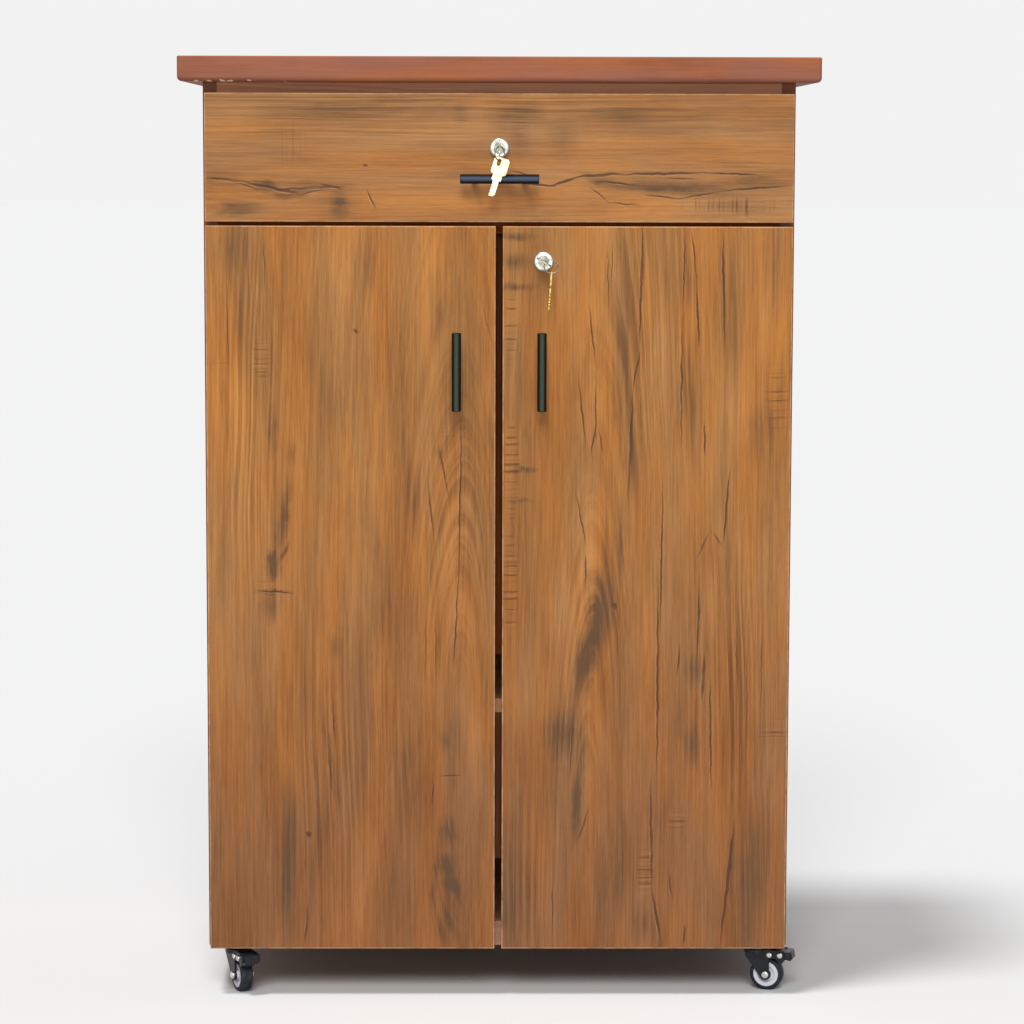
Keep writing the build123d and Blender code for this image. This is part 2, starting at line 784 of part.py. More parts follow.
def drawer_box_ends():
    """Front and back boards between the drawer sides, grooved for the bottom."""
    half = box_half_width - drawer_board
    low = box_bottom + drawer_bottom_lift
    front = block(-half, half, front_board, box_front_back, box_bottom, box_top)
    front -= block(-half, half, box_front_back - drawer_groove_depth, box_front_back + cut_past, low,
                   low + drawer_bottom_sheet)
    front -= lock_bore(0, drawer_lock_z, box_front_back)
    for hole in screw_holes(box_screw_seats(), (0, -1, 0), drawer_board + cut_past):
        front -= hole
    for seat in handle_seats((0, drawer_handle_z), (1, 0, 0), front_board - cut_past):
        front -= rod(seat, (0, 1, 0), box_screw_well, drawer_board + 2 * cut_past)
    back_start = box_back - drawer_board
    back = block(-half, half, back_start, box_back, box_bottom, box_top)
    back -= block(-half, half, back_start - cut_past, back_start + drawer_groove_depth, low,
                  low + drawer_bottom_sheet)
    return [front, back]


def drawer_bottom():
    """Thin drawer bottom held in the grooves."""
    half = box_half_width - drawer_board + drawer_groove_depth - hole_fit
    low = box_bottom + drawer_bottom_lift + running_fit
    start = box_front_back - drawer_groove_depth + hole_fit
    end = box_back - drawer_board + drawer_groove_depth - hole_fit
    return block(-half, half, start, end, low, low + drawer_bottom_sheet - 2 * running_fit)


def drawer_screws():
    """Handle, front and slide screws that travel with the drawer."""
    pieces = [screw(seat, (0, -1, 0), handle_screw_length)
              for seat in handle_seats((0, drawer_handle_z), (1, 0, 0), front_board)]
    pieces += [screw(seat, (0, -1, 0), box_screw_length) for seat in box_screw_seats()]
    for seat in slide_drawer_seats():
        right = screw(seat, (-1, 0, 0), slide_drawer_screw_length)
        pieces += [right, mirrored(right)]
    return pieces


# Slides. Each member is a rolled channel, and each channel nests in the next.
def channel(web_x, opens, depth, height, start):
    """A channel along y: its web stands at web_x, its flanges reach to the side that it opens to."""
    half = height / 2
    web = block(min(web_x, web_x + opens * slide_sheet), max(web_x, web_x + opens * slide_sheet), start,
                start + slide_length, slide_level - half, slide_level + half)
    for side in (-1, 1):
        edge = slide_level + side * half
        inner = edge - side * slide_sheet
        web += block(min(web_x, web_x + opens * depth), max(web_x, web_x + opens * depth), start,
                     start + slide_length, min(edge, inner), max(edge, inner))
    return web


def slide_outer():
    """Member on the right side panel, opening towards the drawer."""
    member = channel(inner_half_width, -1, slide_outer_depth, slide_height, case_front + slide_setback)
    for hole in screw_holes(slide_case_seats(), (1, 0, 0), slide_case_screw_length):
        member -= hole
    return member


def slide_middle():
    """Member between the other two. It runs half as far as the drawer."""
    height = slide_height - 2 * (slide_sheet + slide_nest)
    return channel(inner_half_width - slide_middle_setback, -1, slide_middle_depth, height,
                   case_front + slide_setback)


def slide_inner():
    """Member on the right drawer side, opening away from the drawer."""
    height = slide_height - 4 * (slide_sheet + slide_nest)
    member = channel(box_half_width, 1, slide_inner_depth, height, case_front + slide_setback)
    for hole in screw_holes(slide_drawer_seats(), (-1, 0, 0), slide_drawer_screw_length):
        member -= hole
    return member


# Casters, drawn with the swivel axis at the origin and the wheel trailing towards +x.
def place_caster(corner, piece):
    """Turn a caster piece to its rest angle and carry it to its corner."""
    x, y = caster_centres()[corner]
    return Pos(x, y, 0) * Rot(0, 0, swivel_rest_degrees[corner]) * piece


def caster_plate():
    """Screwed plate with the upper race and the king pin, which is headed under the fork crown."""
    side = caster_plate_side
    plate = Pos(0, 0, plate_bottom + caster_plate_sheet / 2) * Box(side, side, caster_plate_sheet)
    plate = fillet(plate.edges().filter_by(Axis.Z), caster_plate_round)
    half = caster_bolt_spacing / 2
    for i in (-1, 1):
        for j in (-1, 1):
            plate -= rod((i * half, j * half, plate_bottom - cut_past), (0, 0, 1), screw_diameter + hole_fit,
                         caster_plate_sheet + 2 * cut_past)
    race = rod((0, 0, race_bottom), (0, 0, 1), caster_race_diameter, caster_race_height)
    race = fillet(race.edges().sort_by(Axis.Z)[0], caster_race_round)
    pin_bottom = crown_top - caster_crown_hollow - swivel_gap - caster_pin_head_height
    pin = rod((0, 0, pin_bottom), (0, 0, 1), caster_pin_diameter, plate_bottom - pin_bottom)
    head = rod((0, 0, pin_bottom), (0, 0, 1), caster_pin_head_diameter, caster_pin_head_height)
    return plate + race + pin + head


def cheek_outline(braked):
    """Side plate of the fork, seen square on: x along the trail, y up."""
    eye = (caster_trail, wheel_radius)
    top = crown_top
    shoulder = crown_bottom - cheek_shoulder_drop
    web = Polyline((-cheek_lead, top), (-cheek_lead, shoulder),
                   (caster_trail - cheek_eye_radius, wheel_radius - cheek_neck_drop),
                   (cheek_trail, wheel_radius), (cheek_trail, top), close=True)
    outline = make_face(web) + Pos(*eye) * Circle(cheek_eye_radius)
    if braked:
        ear_foot = top - ear_drop
        ear = Polyline((0, top), (0, ear_foot), (ear_trail - ear_corner_width, ear_foot),
                       (ear_trail, ear_foot + ear_corner_height), (ear_trail, top), close=True)
        outline += make_face(ear)
    return outline


def caster_fork(braked):
    """Pressed fork: round crown over two cheeks, with ears for the pedal on the braked ones."""
    crown = rod((0, 0, crown_bottom), (0, 0, 1), caster_crown_diameter, caster_crown_height)
    crown += block(0, cheek_trail, -cheek_outer, cheek_outer, crown_top - caster_crown_hollow, crown_top)
    crown -= rod((0, 0, crown_bottom - cut_past), (0, 0, 1), caster_crown_diameter - 2 * cheek_sheet,
                 caster_crown_height - caster_crown_hollow + cut_past)
    cheek = extrude(Plane.XZ * cheek_outline(braked), cheek_sheet)
    fork = crown + Pos(0, cheek_outer, 0) * cheek + Pos(0, -cheek_inner, 0) * cheek
    fork -= rod((0, 0, crown_bottom - cut_past), (0, 0, 1), caster_pin_diameter + 2 * running_fit,
                caster_crown_height + 2 * cut_past)
    bores = [(caster_trail, wheel_radius, axle_diameter)]
    if braked:
        trails = (first_rivet_trail, second_rivet_trail)
        bores += [(trail, rivet_z, rivet_shank_diameter) for trail in trails]
    for trail, level, diameter in bores:
        fork -= rod((trail, -cheek_outer - cut_past, level), (0, 1, 0), diameter + hole_fit,
                    2 * (cheek_outer + cut_past))
    return fork


def caster_axle(braked):
    """Axle with a nut at each end, and the two brake rivets of a braked fork."""
    bar = rod((caster_trail, -cheek_outer, wheel_radius), (0, 1, 0), axle_diameter, 2 * cheek_outer)
    for side in (-1, 1):
        nut = rod((caster_trail, side * cheek_outer, wheel_radius), (0, side, 0), axle_nut_diameter,
                  axle_nut_height)
        rim = nut.edges().filter_by(GeomType.CIRCLE).sort_by(Axis.Y)[-1 if side > 0 else 0]
        bar += fillet(rim, axle_nut_round)
    pieces = [bar]
    for trail in (first_rivet_trail, second_rivet_trail) if braked else ():
        rivet = rod((trail, -cheek_outer, rivet_z), (0, 1, 0), rivet_shank_diameter, 2 * cheek_outer)
        for side in (-1, 1):
            seat = (trail, side * cheek_outer, rivet_z)
            head = rod(seat, (0, side, 0), rivet_head_diameter, rivet_head_height)
            rim = head.edges().filter_by(GeomType.CIRCLE).sort_by(Axis.Y)[-1 if side > 0 else 0]
            rivet += fillet(rim, rivet_head_round)
        pieces.append(rivet)
    return pieces


def caster_tyre():
    """Solid tyre with rounded shoulders."""
    half = wheel_width / 2
    inner = rim_diameter / 2 + running_fit
    section = Pos((inner + wheel_radius) / 2, 0) * Rectangle(wheel_radius - inner, 2 * half)
    shoulders = section.vertices().sort_by(Axis.X)[-2:]
    section = fillet(shoulders, tyre_round)
    ring = revolve(Plane.XZ * section, Axis.Z)
    return Pos(caster_trail, 0, wheel_radius) * Rot(90, 0, 0) * ring


def caster_rim():
    """Moulded core: thick ring, recessed web and hub round the axle."""
    half = wheel_width / 2 - rim_side_setback
    hub_half = cheek_inner - swing_gap
    outer, recess, hub = rim_diameter / 2, rim_recess_diameter / 2, hub_diameter / 2
    bore = axle_diameter / 2 + running_fit
    web = half - rim_recess_depth
    upper = [(bore, hub_half), (hub, hub_half), (hub + rim_draft, web), (recess - rim_draft, web),
             (recess, half), (outer, half)]
    lower = [(radius, -level) for radius, level in reversed(upper)]
    ring = revolve(Plane.XZ * make_face(Polyline(*upper, *lower, close=True)), Axis.Z)
    return Pos(caster_trail, 0, wheel_radius) * Rot(90, 0, 0) * ring


def brake_pedal():
    """Foot pedal between the ears, with a shoe under the pivot that swings against the tyre."""
    pivot = second_rivet_trail
    top = crown_top - pedal_top_gap
    tip = top - pedal_drop
    shoe_foot = wheel_radius + shoe_above_axle
    outline = make_face(Polyline(
        (pivot - pedal_heel_reach, top), (pivot - pedal_heel_reach, rivet_z - pedal_heel_drop),
        (pivot - shoe_front_reach, shoe_foot), (pivot + shoe_back_reach, shoe_foot),
        (pivot + pedal_belly_reach, tip + pedal_belly_rise), (pedal_tip_trail - pedal_tip_slope, tip),
        (pedal_tip_trail, tip + pedal_tip_slope), (pedal_tip_trail - pedal_top_setback, top), close=True))
    half = cheek_inner - swivel_gap
    slab = extrude(Plane.XZ * outline, half, both=True)
    wing_half = pedal_width / 2 + pedal_wing_overhang
    wings = block(ear_trail + swing_gap, pedal_tip_trail - pedal_tip_slope, -wing_half, wing_half,
                  tip + pedal_tip_slope, top)
    slab += fillet(wings.edges().filter_by(Axis.Z), pedal_wing_round)
    bore = rivet_shank_diameter + 2 * running_fit
    return slab - rod((pivot, -wing_half, rivet_z), (0, 1, 0), bore, 2 * wing_half)


def cabinet_screws():
    """Hinge-plate, slide and caster screws."""
    pieces = []
    for seat in hinge_plate_seats():
        right = screw(seat, (1, 0, 0), hinge_screw_length)
        pieces += [right, mirrored(right)]
    for seat in slide_case_seats():
        right = screw(seat, (1, 0, 0), slide_case_screw_length)
        pieces += [right, mirrored(right)]
    return pieces + [screw(seat, (0, 0, 1), caster_screw_length) for seat in caster_screw_seats()]


def write_case():
    """The boards, rails and fixed hardware of the case."""
    save("worktop", worktop())
    save("side_panel_right", side_panel())
    save("side_panel_left", mirrored(side_panel()))
    save("bottom_panel", bottom_panel())
    save("base_rails", base_rails())
    save("divider_panel", divider_panel())
    save("shelf", shelf())
    save("shelf_pins", shelf_pins())
    save("back_panel", back_panel())
    save("top_rail_front", top_rail(case_front))
    save("top_rail_back", top_rail(back_front_plane - board))
    arms = [hinge_arm(level) for level in hinge_levels]
    save("hinge_arms", arms + [mirrored(arm) for arm in arms])
    save("slide_outer_members", [slide_outer(), mirrored(slide_outer())])
    save("cabinet_screws", cabinet_screws())


def write_drawer():
    """The drawer, its slides, lock and keys."""
    save("drawer_front", drawer_front())
    save("drawer_side_right", drawer_side())
    save("drawer_side_left", mirrored(drawer_side()))
    save("drawer_box_ends", drawer_box_ends())
    save("drawer_bottom", drawer_bottom())
    save("slide_middle_members", [slide_middle(), mirrored(slide_middle())])
    save("slide_inner_members", [slide_inner(), mirrored(slide_inner())])
    save("drawer_handle", handle((0, drawer_handle_z), (1, 0, 0)))
    save("drawer_screws", drawer_screws())
    save("drawer_lock_housing", lock_housing(0, drawer_lock_z, box_front_back))
    save("drawer_lock_plug", lock_plug(0, drawer_lock_z, drawer_cam_front, drawer_cam_reach, 0))
    save("drawer_key", inserted_key(0, drawer_lock_z, 0))
    save("drawer_key_ring", key_ring(drawer_ring(), drawer_ring_turn))
    save("drawer_spare_key", drawer_spare_key())


def write_doors():
    """The two doors with their handles, hinges, lock and keys."""
    panel = door_panel()
    cups = [hinge_cup(level) for level in hinge_levels]
    bar = handle((door_handle_x, door_handle_z), (0, 0, 1))
    screws = door_screws()
    save("left_door_panel", mirrored(panel))
    save("left_hinge_cups", [mirrored(cup) for cup in cups])
    save("left_door_handle", mirrored(bar))
    save("left_door_screws", [mirrored(piece) for piece in screws])
    save("right_door_panel", panel - lock_bore(door_lock_x, door_lock_z, front_board))
    save("right_hinge_cups", cups)
    save("right_door_handle", bar)
    save("right_door_screws", screws)
    save("door_lock_housing", lock_housing(door_lock_x, door_lock_z, front_board))
    plug = lock_plug(door_lock_x, door_lock_z, door_cam_front, door_cam_reach, door_key_turn)
    save("door_lock_plug", plug)
    save("door_key", inserted_key(door_lock_x, door_lock_z, door_key_turn))
    save("door_key_ring", key_ring(door_ring(), 0))
    save("door_spare_key", door_spare_key())


def write_casters():
    """The four swivel casters. The front pair has brake pedals."""
    save("caster_plates", [Pos(x, y, 0) * caster_plate() for x, y in caster_centres().values()])
    for corner in caster_centres():
        braked = corner.startswith("front")
        save(f"caster_fork_{corner}", place_caster(corner, caster_fork(braked)))
        save(f"caster_axle_{corner}", [place_caster(corner, piece) for piece in caster_axle(braked)])
        save(f"caster_tyre_{corner}", place_caster(corner, caster_tyre()))
        save(f"caster_rim_{corner}", place_caster(corner, caster_rim()))
        if braked:
            save(f"brake_pedal_{corner}", place_caster(corner, brake_pedal()))


# The part's origin is the foot of its bounding box, whose front is a spare key.
front_reach = -min(drawer_spare_key().bounding_box().min.Y, door_spare_key().bounding_box().min.Y)
origin_y = (case_back - front_reach) / 2
os.makedirs("parts", exist_ok=True)
write_case()
write_drawer()
write_doors()
write_casters()
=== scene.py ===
import logging
import math
from dataclasses import dataclass, replace
from enum import Enum
from typing import Mapping, Sequence

import bpy
from mathutils import Matrix, Vector

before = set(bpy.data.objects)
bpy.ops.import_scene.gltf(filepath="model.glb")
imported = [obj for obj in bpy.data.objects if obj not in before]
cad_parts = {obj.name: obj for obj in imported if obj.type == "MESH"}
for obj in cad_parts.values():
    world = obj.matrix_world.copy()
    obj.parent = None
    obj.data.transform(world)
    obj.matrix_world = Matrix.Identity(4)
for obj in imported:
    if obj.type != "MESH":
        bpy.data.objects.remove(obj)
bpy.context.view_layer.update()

log = logging.getLogger("rolling_cabinet")

Colour = tuple[float, float, float]
Triple = tuple[float, float, float]

# Noise cells per metre: across the grain, through the board and along the grain.
BEND_CELLS = (7.0, 7.0, 1.6)
DRIFT_CELLS = (30.0, 30.0, 5.0)
FIBRE_CELLS = (380.0, 380.0, 11.0)
THREAD_CELLS = (1500.0, 1500.0, 55.0)
CLOUD_CELLS = (14.0, 14.0, 3.0)
PATCH_CELLS = (9.0, 9.0, 2.2)
HUE_CELLS = (20.0, 20.0, 3.5)
CRACK_CELLS = (60.0, 60.0, 20.0)
SAW_CELLS = 230.0
# Noise cells per metre along the object's own x, y and z.
WOBBLE_CELLS = (55.0, 1.0, 55.0)
WEAR_CELLS = (60.0, 60.0, 60.0)
SMEAR_CELLS = (140.0, 140.0, 140.0)
SCRATCH_CELLS = (2600.0, 2600.0, 160.0)
PIT_CELLS = (2200.0, 2200.0, 2200.0)
HAZE_CELLS = (60.0, 60.0, 60.0)
RUB_CELLS = (180.0, 180.0, 180.0)
# Marks ignore the depth of a board, and sway by these lengths in metres.
FACE_ONLY = (1.0, 0.0, 1.0)
ROUGH_SWAY = (0.010, 0.0, 0.010)
FINE_SWAY = (0.0045, 0.0, 0.0045)
# Painted highlights under cracks are drawn shifted by this much, in metres.
CRACK_HIGHLIGHT_SHIFT = (0.0012, 0.0, 0.0014)
# The pale line along a front's outline fades out between these distances from the outline, in metres.
PALE_OUTLINE_BAND = (0.0007, 0.0019)
# Chips fade out between these depths of the worktop, in metres.
CHIP_DEPTHS = (-0.19, -0.15)
# Heights of the reliefs, in metres.
WOOD_RELIEF = 0.00012
METAL_RELIEF = 0.00003
MOULDED_RELIEF = 0.00005
# A mark's level at its middle, so that its heart is even.
MARK_PEAK = 1.25


def srgb(red: float, green: float, blue: float) -> Colour:
    """Turn a colour as it looks on a screen into the linear values of a shader.

    Args:
        red: Red, 0 to 255.
        green: Green, 0 to 255.
        blue: Blue, 0 to 255.

    Returns:
        The linear red, green and blue.
    """
    def linear(level: float) -> float:
        """Undo the screen's curve for one channel."""
        share = level / 255
        return share / 12.92 if share <= 0.04045 else ((share + 0.055) / 1.055) ** 2.4

    return linear(red), linear(green), linear(blue)


class GrainRun(Enum):
    """Which way the grain runs in a board: the axes across it, through it and along it."""

    UPRIGHT_FRONT = ("X", "Y", "Z")
    LEVEL_FRONT = ("Z", "Y", "X")
    UPRIGHT_SIDE = ("Y", "X", "Z")
    LEVEL_TOP = ("Y", "Z", "X")
    DEEP_SIDE = ("Z", "X", "Y")


class Corner(Enum):
    """The four casters, by where they stand."""

    FRONT_LEFT = "front_left"
    FRONT_RIGHT = "front_right"
    REAR_LEFT = "rear_left"
    REAR_RIGHT = "rear_right"


@dataclass(frozen=True)
class Signal:
    """A number that a shader works out. Arithmetic on it adds the shader's own maths."""

    sheet: "ShaderSheet"
    socket: bpy.types.NodeSocket

    def maths(self, operation: str, *others: "Signal | float") -> "Signal":
        """Combine this signal with others.

        Args:
            operation: The name of the operation.
            others: Further signals or numbers, in order.

        Returns:
            The combined signal.
        """
        inputs = dict(enumerate((self, *others)))
        return self.sheet.node("ShaderNodeMath", {"operation": operation}, inputs)

    def __add__(self, other: "Signal | float") -> "Signal":
        """Sum of two signals."""
        return self.maths("ADD", other)

    __radd__ = __add__

    def __sub__(self, other: "Signal | float") -> "Signal":
        """This signal less another."""
        return self.maths("SUBTRACT", other)

    def __rsub__(self, other: float) -> "Signal":
        """A number less this signal."""
        return self.sheet.node("ShaderNodeMath", {"operation": "SUBTRACT"}, {0: other, 1: self})

    def __mul__(self, other: "Signal | float") -> "Signal":
        """Product of two signals."""
        return self.maths("MULTIPLY", other)

    __rmul__ = __mul__

    def __truediv__(self, other: "Signal | float") -> "Signal":
        """This signal divided by another."""
        return self.maths("DIVIDE", other)

    def __pow__(self, other: float) -> "Signal":
        """This signal raised to a power."""
        return self.maths("POWER", other)

    def fade(self, low: float, high: float, start: float = 0.0, end: float = 1.0) -> "Signal":
        """Rise smoothly between two levels of this signal.

        Args:
            low: Level at which the rise starts.
            high: Level at which it ends.
            start: Result at the low level.
            end: Result at the high level.

        Returns:
            The smooth rise.
        """
        settings = {"interpolation_type": "SMOOTHSTEP"}
        inputs = {"Value": self, "From Min": low, "From Max": high, "To Min": start, "To Max": end}
        return self.sheet.node("ShaderNodeMapRange", settings, inputs)


@dataclass(frozen=True)
class Place:
    """A position or a colour in a shader. Arithmetic on it uses the shader's vector maths."""

    sheet: "ShaderSheet"
    socket: bpy.types.NodeSocket

    def maths(self, operation: str, other: "Place | Triple") -> "Place":
        """Combine this place with another.

        Args:
            operation: The name of the operation.
            other: The other place, or three numbers.

        Returns:
            The combined place.
        """
        return self.sheet.place("ShaderNodeVectorMath", {"operation": operation}, {0: self, 1: other})

    def __add__(self, other: "Place | Triple") -> "Place":
        """Sum of two places."""
        return self.maths("ADD", other)

    __radd__ = __add__

    def __sub__(self, other: "Place | Triple") -> "Place":
        """This place less another."""
        return self.maths("SUBTRACT", other)

    def __mul__(self, other: "Place | Triple") -> "Place":
        """This place scaled axis by axis."""
        return self.maths("MULTIPLY", other)

    __rmul__ = __mul__

    def part(self, axis: str) -> Signal:
        """The part of this place along one axis."""
        return self.sheet.node("ShaderNodeSeparateXYZ", {}, {0: self}, axis)


Feed = Signal | Place | float | Sequence[float] | str


class ShaderSheet:
    """The shader of one finish, or of the surroundings, while it is put together."""

    def __init__(self, owner: bpy.types.Material | bpy.types.World) -> None:
        """Start with no nodes.

        Args:
            owner: The new material or world that the shader is for.
        """
        owner.use_nodes = True
        self.owner = owner
        self.tree = owner.node_tree
        self.tree.nodes.clear()

    @classmethod
    def for_finish(cls, name: str) -> "ShaderSheet":
        """Start the shader of a new material."""
        return cls(bpy.data.materials.new(name))

    def build(self, kind: str, settings: Mapping[str, object],
              inputs: Mapping[str | int, Feed]) -> bpy.types.Node:
        """Add one node, set it up and feed it.

        Args:
            kind: The node's type.
            settings: Its settings. The stops of a ramp are pairs of level and colour.
            inputs: Values or links by socket name or number.

        Returns:
            The node.
        """
        node = self.tree.nodes.new(kind)
        for name, value in settings.items():
            if name == "stops":
                self.set_stops(node.color_ramp, value)
            else:
                setattr(node, name, value)
        for key, feed in inputs.items():
            socket = node.inputs[key]
            if isinstance(feed, (Signal, Place)):
                self.tree.links.new(feed.socket, socket)
            elif isinstance(feed, (int, float)):
                socket.default_value = feed
            elif socket.type == "RGBA" and len(feed) == 3:
                socket.default_value = (*feed, 1.0)
            else:
                socket.default_value = tuple(feed)
        return node

    @staticmethod
    def set_stops(ramp: bpy.types.ColorRamp, stops: Sequence[tuple[float, Colour]]) -> None:
        """Give a ramp its stops.

        Args:
            ramp: The colour ramp.
            stops: Pairs of level and colour, lowest first.
        """
        while len(ramp.elements) < len(stops):
            ramp.elements.new(1.0)
        for element, (level, colour) in zip(ramp.elements, stops):
            element.position = level
            element.color = (*colour, 1.0)

    def node(self, kind: str, settings: Mapping[str, object], inputs: Mapping[str | int, Feed],
             output: str | int = 0) -> Signal:
        """Add one node whose result is a number.

        Args:
            kind: The node's type.
            settings: Its settings.
            inputs: Values or links by socket name or number.
            output: The socket that holds the result.

        Returns:
            The result.
        """
        return Signal(self, self.build(kind, settings, inputs).outputs[output])

    def place(self, kind: str, settings: Mapping[str, object], inputs: Mapping[str | int, Feed],
              output: str | int = 0) -> Place:
        """Add one node whose result is a position or a colour.

        Args:
            kind: The node's type.
            settings: Its settings.
            inputs: Values or links by socket name or number.
            output: The socket that holds the result.

        Returns:
            The result.
        """
        return Place(self, self.build(kind, settings, inputs).outputs[output])

    def here(self) -> Place:
        """The shaded point, in the object's own metres."""
        return self.place("ShaderNodeTexCoord", {}, {}, "Object")

    def facing(self) -> Place:
        """The way that the surface faces, along the object's own axes."""
        return self.place("ShaderNodeTexCoord", {}, {}, "Normal")

    def speckle(self, where: Place, scale: Triple, detail: float = 3.0, roughness: float = 0.55,
                warp: float = 0.0) -> Signal:
        """Cloudy noise, stretched axis by axis.

        Args:
            where: The point.
            scale: Noise cells per metre along each axis.
            detail: Levels of finer noise.
            roughness: Weight of the finer levels.
            warp: How far the noise is bent by itself.

        Returns:
            A level about 0.5.
        """
        inputs = {"Vector": where * scale, "Scale": 1.0, "Detail": detail, "Roughness": roughness,
                  "Distortion": warp}
        return self.node("ShaderNodeTexNoise", {"noise_dimensions": "3D"}, inputs, 0)

    def blend(self, share: Signal | float, first: Feed, second: Feed, mode: str = "MIX") -> Place:
        """Mix two colours.

        Args:
            share: Share of the second colour.
            first: The first colour.
            second: The second colour.
            mode: The way they are mixed.

        Returns:
            The mixed colour.
        """
        settings = {"data_type": "RGBA", "blend_type": mode, "clamp_factor": True}
        return self.place("ShaderNodeMix", settings, {0: share, 6: first, 7: second}, 2)

    def bump(self, height: Signal, distance: float) -> Place:
        """Turn a height into a relief of the surface.

        Args:
            height: The height, about 0 to 1.
            distance: The height of one unit, in metres.

        Returns:
            The tilted normal.
        """
        return self.place("ShaderNodeBump", {}, {"Height": height, "Distance": distance, "Strength": 1.0})

    def finish(self, inputs: Mapping[str | int, Feed]) -> bpy.types.Material:
        """Close the shader with its surface.

        Args:
            inputs: What feeds the surface, by socket name.

        Returns:
            The finished material.
        """
        surface = self.build("ShaderNodeBsdfPrincipled", {}, inputs)
        out = self.build("ShaderNodeOutputMaterial", {}, {})
        self.tree.links.new(surface.outputs[0], out.inputs["Surface"])
        return self.owner


@dataclass(frozen=True)
class Mark:
    """A long spot in a board's face: a stain, crack or pale patch. Metres, and degrees for the tilt."""

    x: float
    z: float
    half_width: float
    half_height: float
    strength: float = 1.0
    tilt: float = 0.0

    def add_to(self, total: Signal | float, where: Place) -> Signal:
        """Add this mark to what the others have drawn.

        Args:
            total: The level so far.
            where: The point, flattened on to the face.

        Returns:
            The level with this mark.
        """
        sheet = where.sheet
        inputs = {"Vector": where, "Location": (self.x, 0.0, self.z),
                  "Rotation": (0.0, math.radians(self.tilt), 0.0),
                  "Scale": (self.half_width, 1.0, self.half_height)}
        local = sheet.place("ShaderNodeMapping", {"vector_type": "TEXTURE"}, inputs)
        level = sheet.node("ShaderNodeTexGradient", {"gradient_type": "SPHERICAL"}, {"Vector": local}, 1)
        return level.maths("MULTIPLY_ADD", MARK_PEAK * self.strength, total)


Marks = tuple[Mark, ...]


def drawn(marks: Marks, where: Place) -> Signal | float:
    """Draw a group of marks.

    Args:
        marks: The marks.
        where: The point, flattened on to the face.

    Returns:
        The level of all of them together.
    """
    total: Signal | float = 0.0
    for mark in marks:
        total = mark.add_to(total, where)
    return total


# Marks of the laminate: x from the cabinet's middle, z up from the floor.
LEFT_STAINS: Marks = (
    Mark(-0.067, 0.15, 0.023, 0.115, 0.35), Mark(-0.276, 0.17, 0.016, 0.13, 0.35, 1),
    Mark(-0.286, 0.6, 0.016, 0.11, 0.35, 5), Mark(-0.25, 0.4, 0.022, 0.13, 0.25),
    Mark(-0.341, 0.973, 0.028, 0.041, 0.4), Mark(-0.171, 0.954, 0.021, 0.054, 0.4),
    Mark(-0.079, 0.903, 0.014, 0.054, 0.35), Mark(-0.291, 0.74, 0.009, 0.041, 0.6),
    Mark(-0.266, 0.711, 0.009, 0.021, 0.45), Mark(-0.276, 0.63, 0.009, 0.072, 0.55, 9),
    Mark(-0.291, 0.566, 0.013, 0.021, 0.9), Mark(-0.295, 0.576, 0.0039, 0.017, 0.7, -10),
    Mark(-0.276, 0.583, 0.0039, 0.019, 0.7, 26), Mark(-0.294, 0.513, 0.018, 0.026, 0.5),
    Mark(-0.289, 0.533, 0.031, 0.0045, 0.6), Mark(-0.21, 0.461, 0.014, 0.021, 0.4),
    Mark(-0.217, 0.314, 0.008, 0.084, 0.55, -9), Mark(-0.239, 0.311, 0.006, 0.042, 0.3, -8),
    Mark(-0.273, 0.181, 0.014, 0.13, 0.5, 1), Mark(-0.067, 0.22, 0.014, 0.025, 0.75),
    Mark(-0.069, 0.174, 0.019, 0.021, 0.65), Mark(-0.061, 0.148, 0.017, 0.013, 0.7),
    Mark(-0.067, 0.096, 0.018, 0.031, 0.65), Mark(-0.083, 0.149, 0.005, 0.061, 0.5, 4),
    Mark(-0.052, 0.134, 0.005, 0.029, 0.45, -11), Mark(-0.122, 0.301, 0.017, 0.084, 0.4),
    Mark(-0.147, 0.129, 0.031, 0.065, 0.25), Mark(-0.108, 0.647, 0.015, 0.065, 0.4),
    Mark(-0.076, 0.711, 0.005, 0.018, 0.5), Mark(-0.223, 0.781, 0.013, 0.077, 0.2),
    Mark(-0.328, 0.871, 0.018, 0.077, 0.25), Mark(-0.056, 0.347, 0.013, 0.039, 0.4),
    Mark(-0.07, 0.338, 0.008, 0.018, 0.4),
)
LEFT_CRACKS: Marks = (
    Mark(-0.05, 0.65, 0.0017, 0.134, 0.9, 1), Mark(-0.055, 0.492, 0.0017, 0.066, 0.8, 3),
    Mark(-0.071, 0.689, 0.0021, 0.049, 0.5, -11), Mark(-0.087, 0.634, 0.0021, 0.067, 0.45, -6),
    Mark(-0.063, 0.292, 0.021, 0.0017, 0.5), Mark(-0.085, 0.269, 0.0018, 0.018, 0.5, 5),
    Mark(-0.25, 0.096, 0.0021, 0.03, 0.8, 5), Mark(-0.299, 0.954, 0.0015, 0.051, 0.4, -1),
    Mark(-0.32, 0.931, 0.0015, 0.07, 0.35, -1), Mark(-0.213, 0.36, 0.0021, 0.053, 0.5, -3),
    Mark(-0.217, 0.291, 0.0018, 0.034, 0.5, -7), Mark(-0.246, 0.215, 0.006, 0.006, 0.6),
    Mark(-0.347, 0.877, 0.0015, 0.11, 0.4, -1), Mark(-0.081, 0.458, 0.0019, 0.075, 0.4, -1),
    Mark(-0.094, 0.458, 0.0017, 0.075, 0.4, 2), Mark(-0.288, 0.533, 0.03, 0.0017, 0.7, 4),
    Mark(-0.015, 0.878, 0.0017, 0.053, 0.3, -15), Mark(-0.183, 0.869, 0.006, 0.0039, 0.5, 40),
)
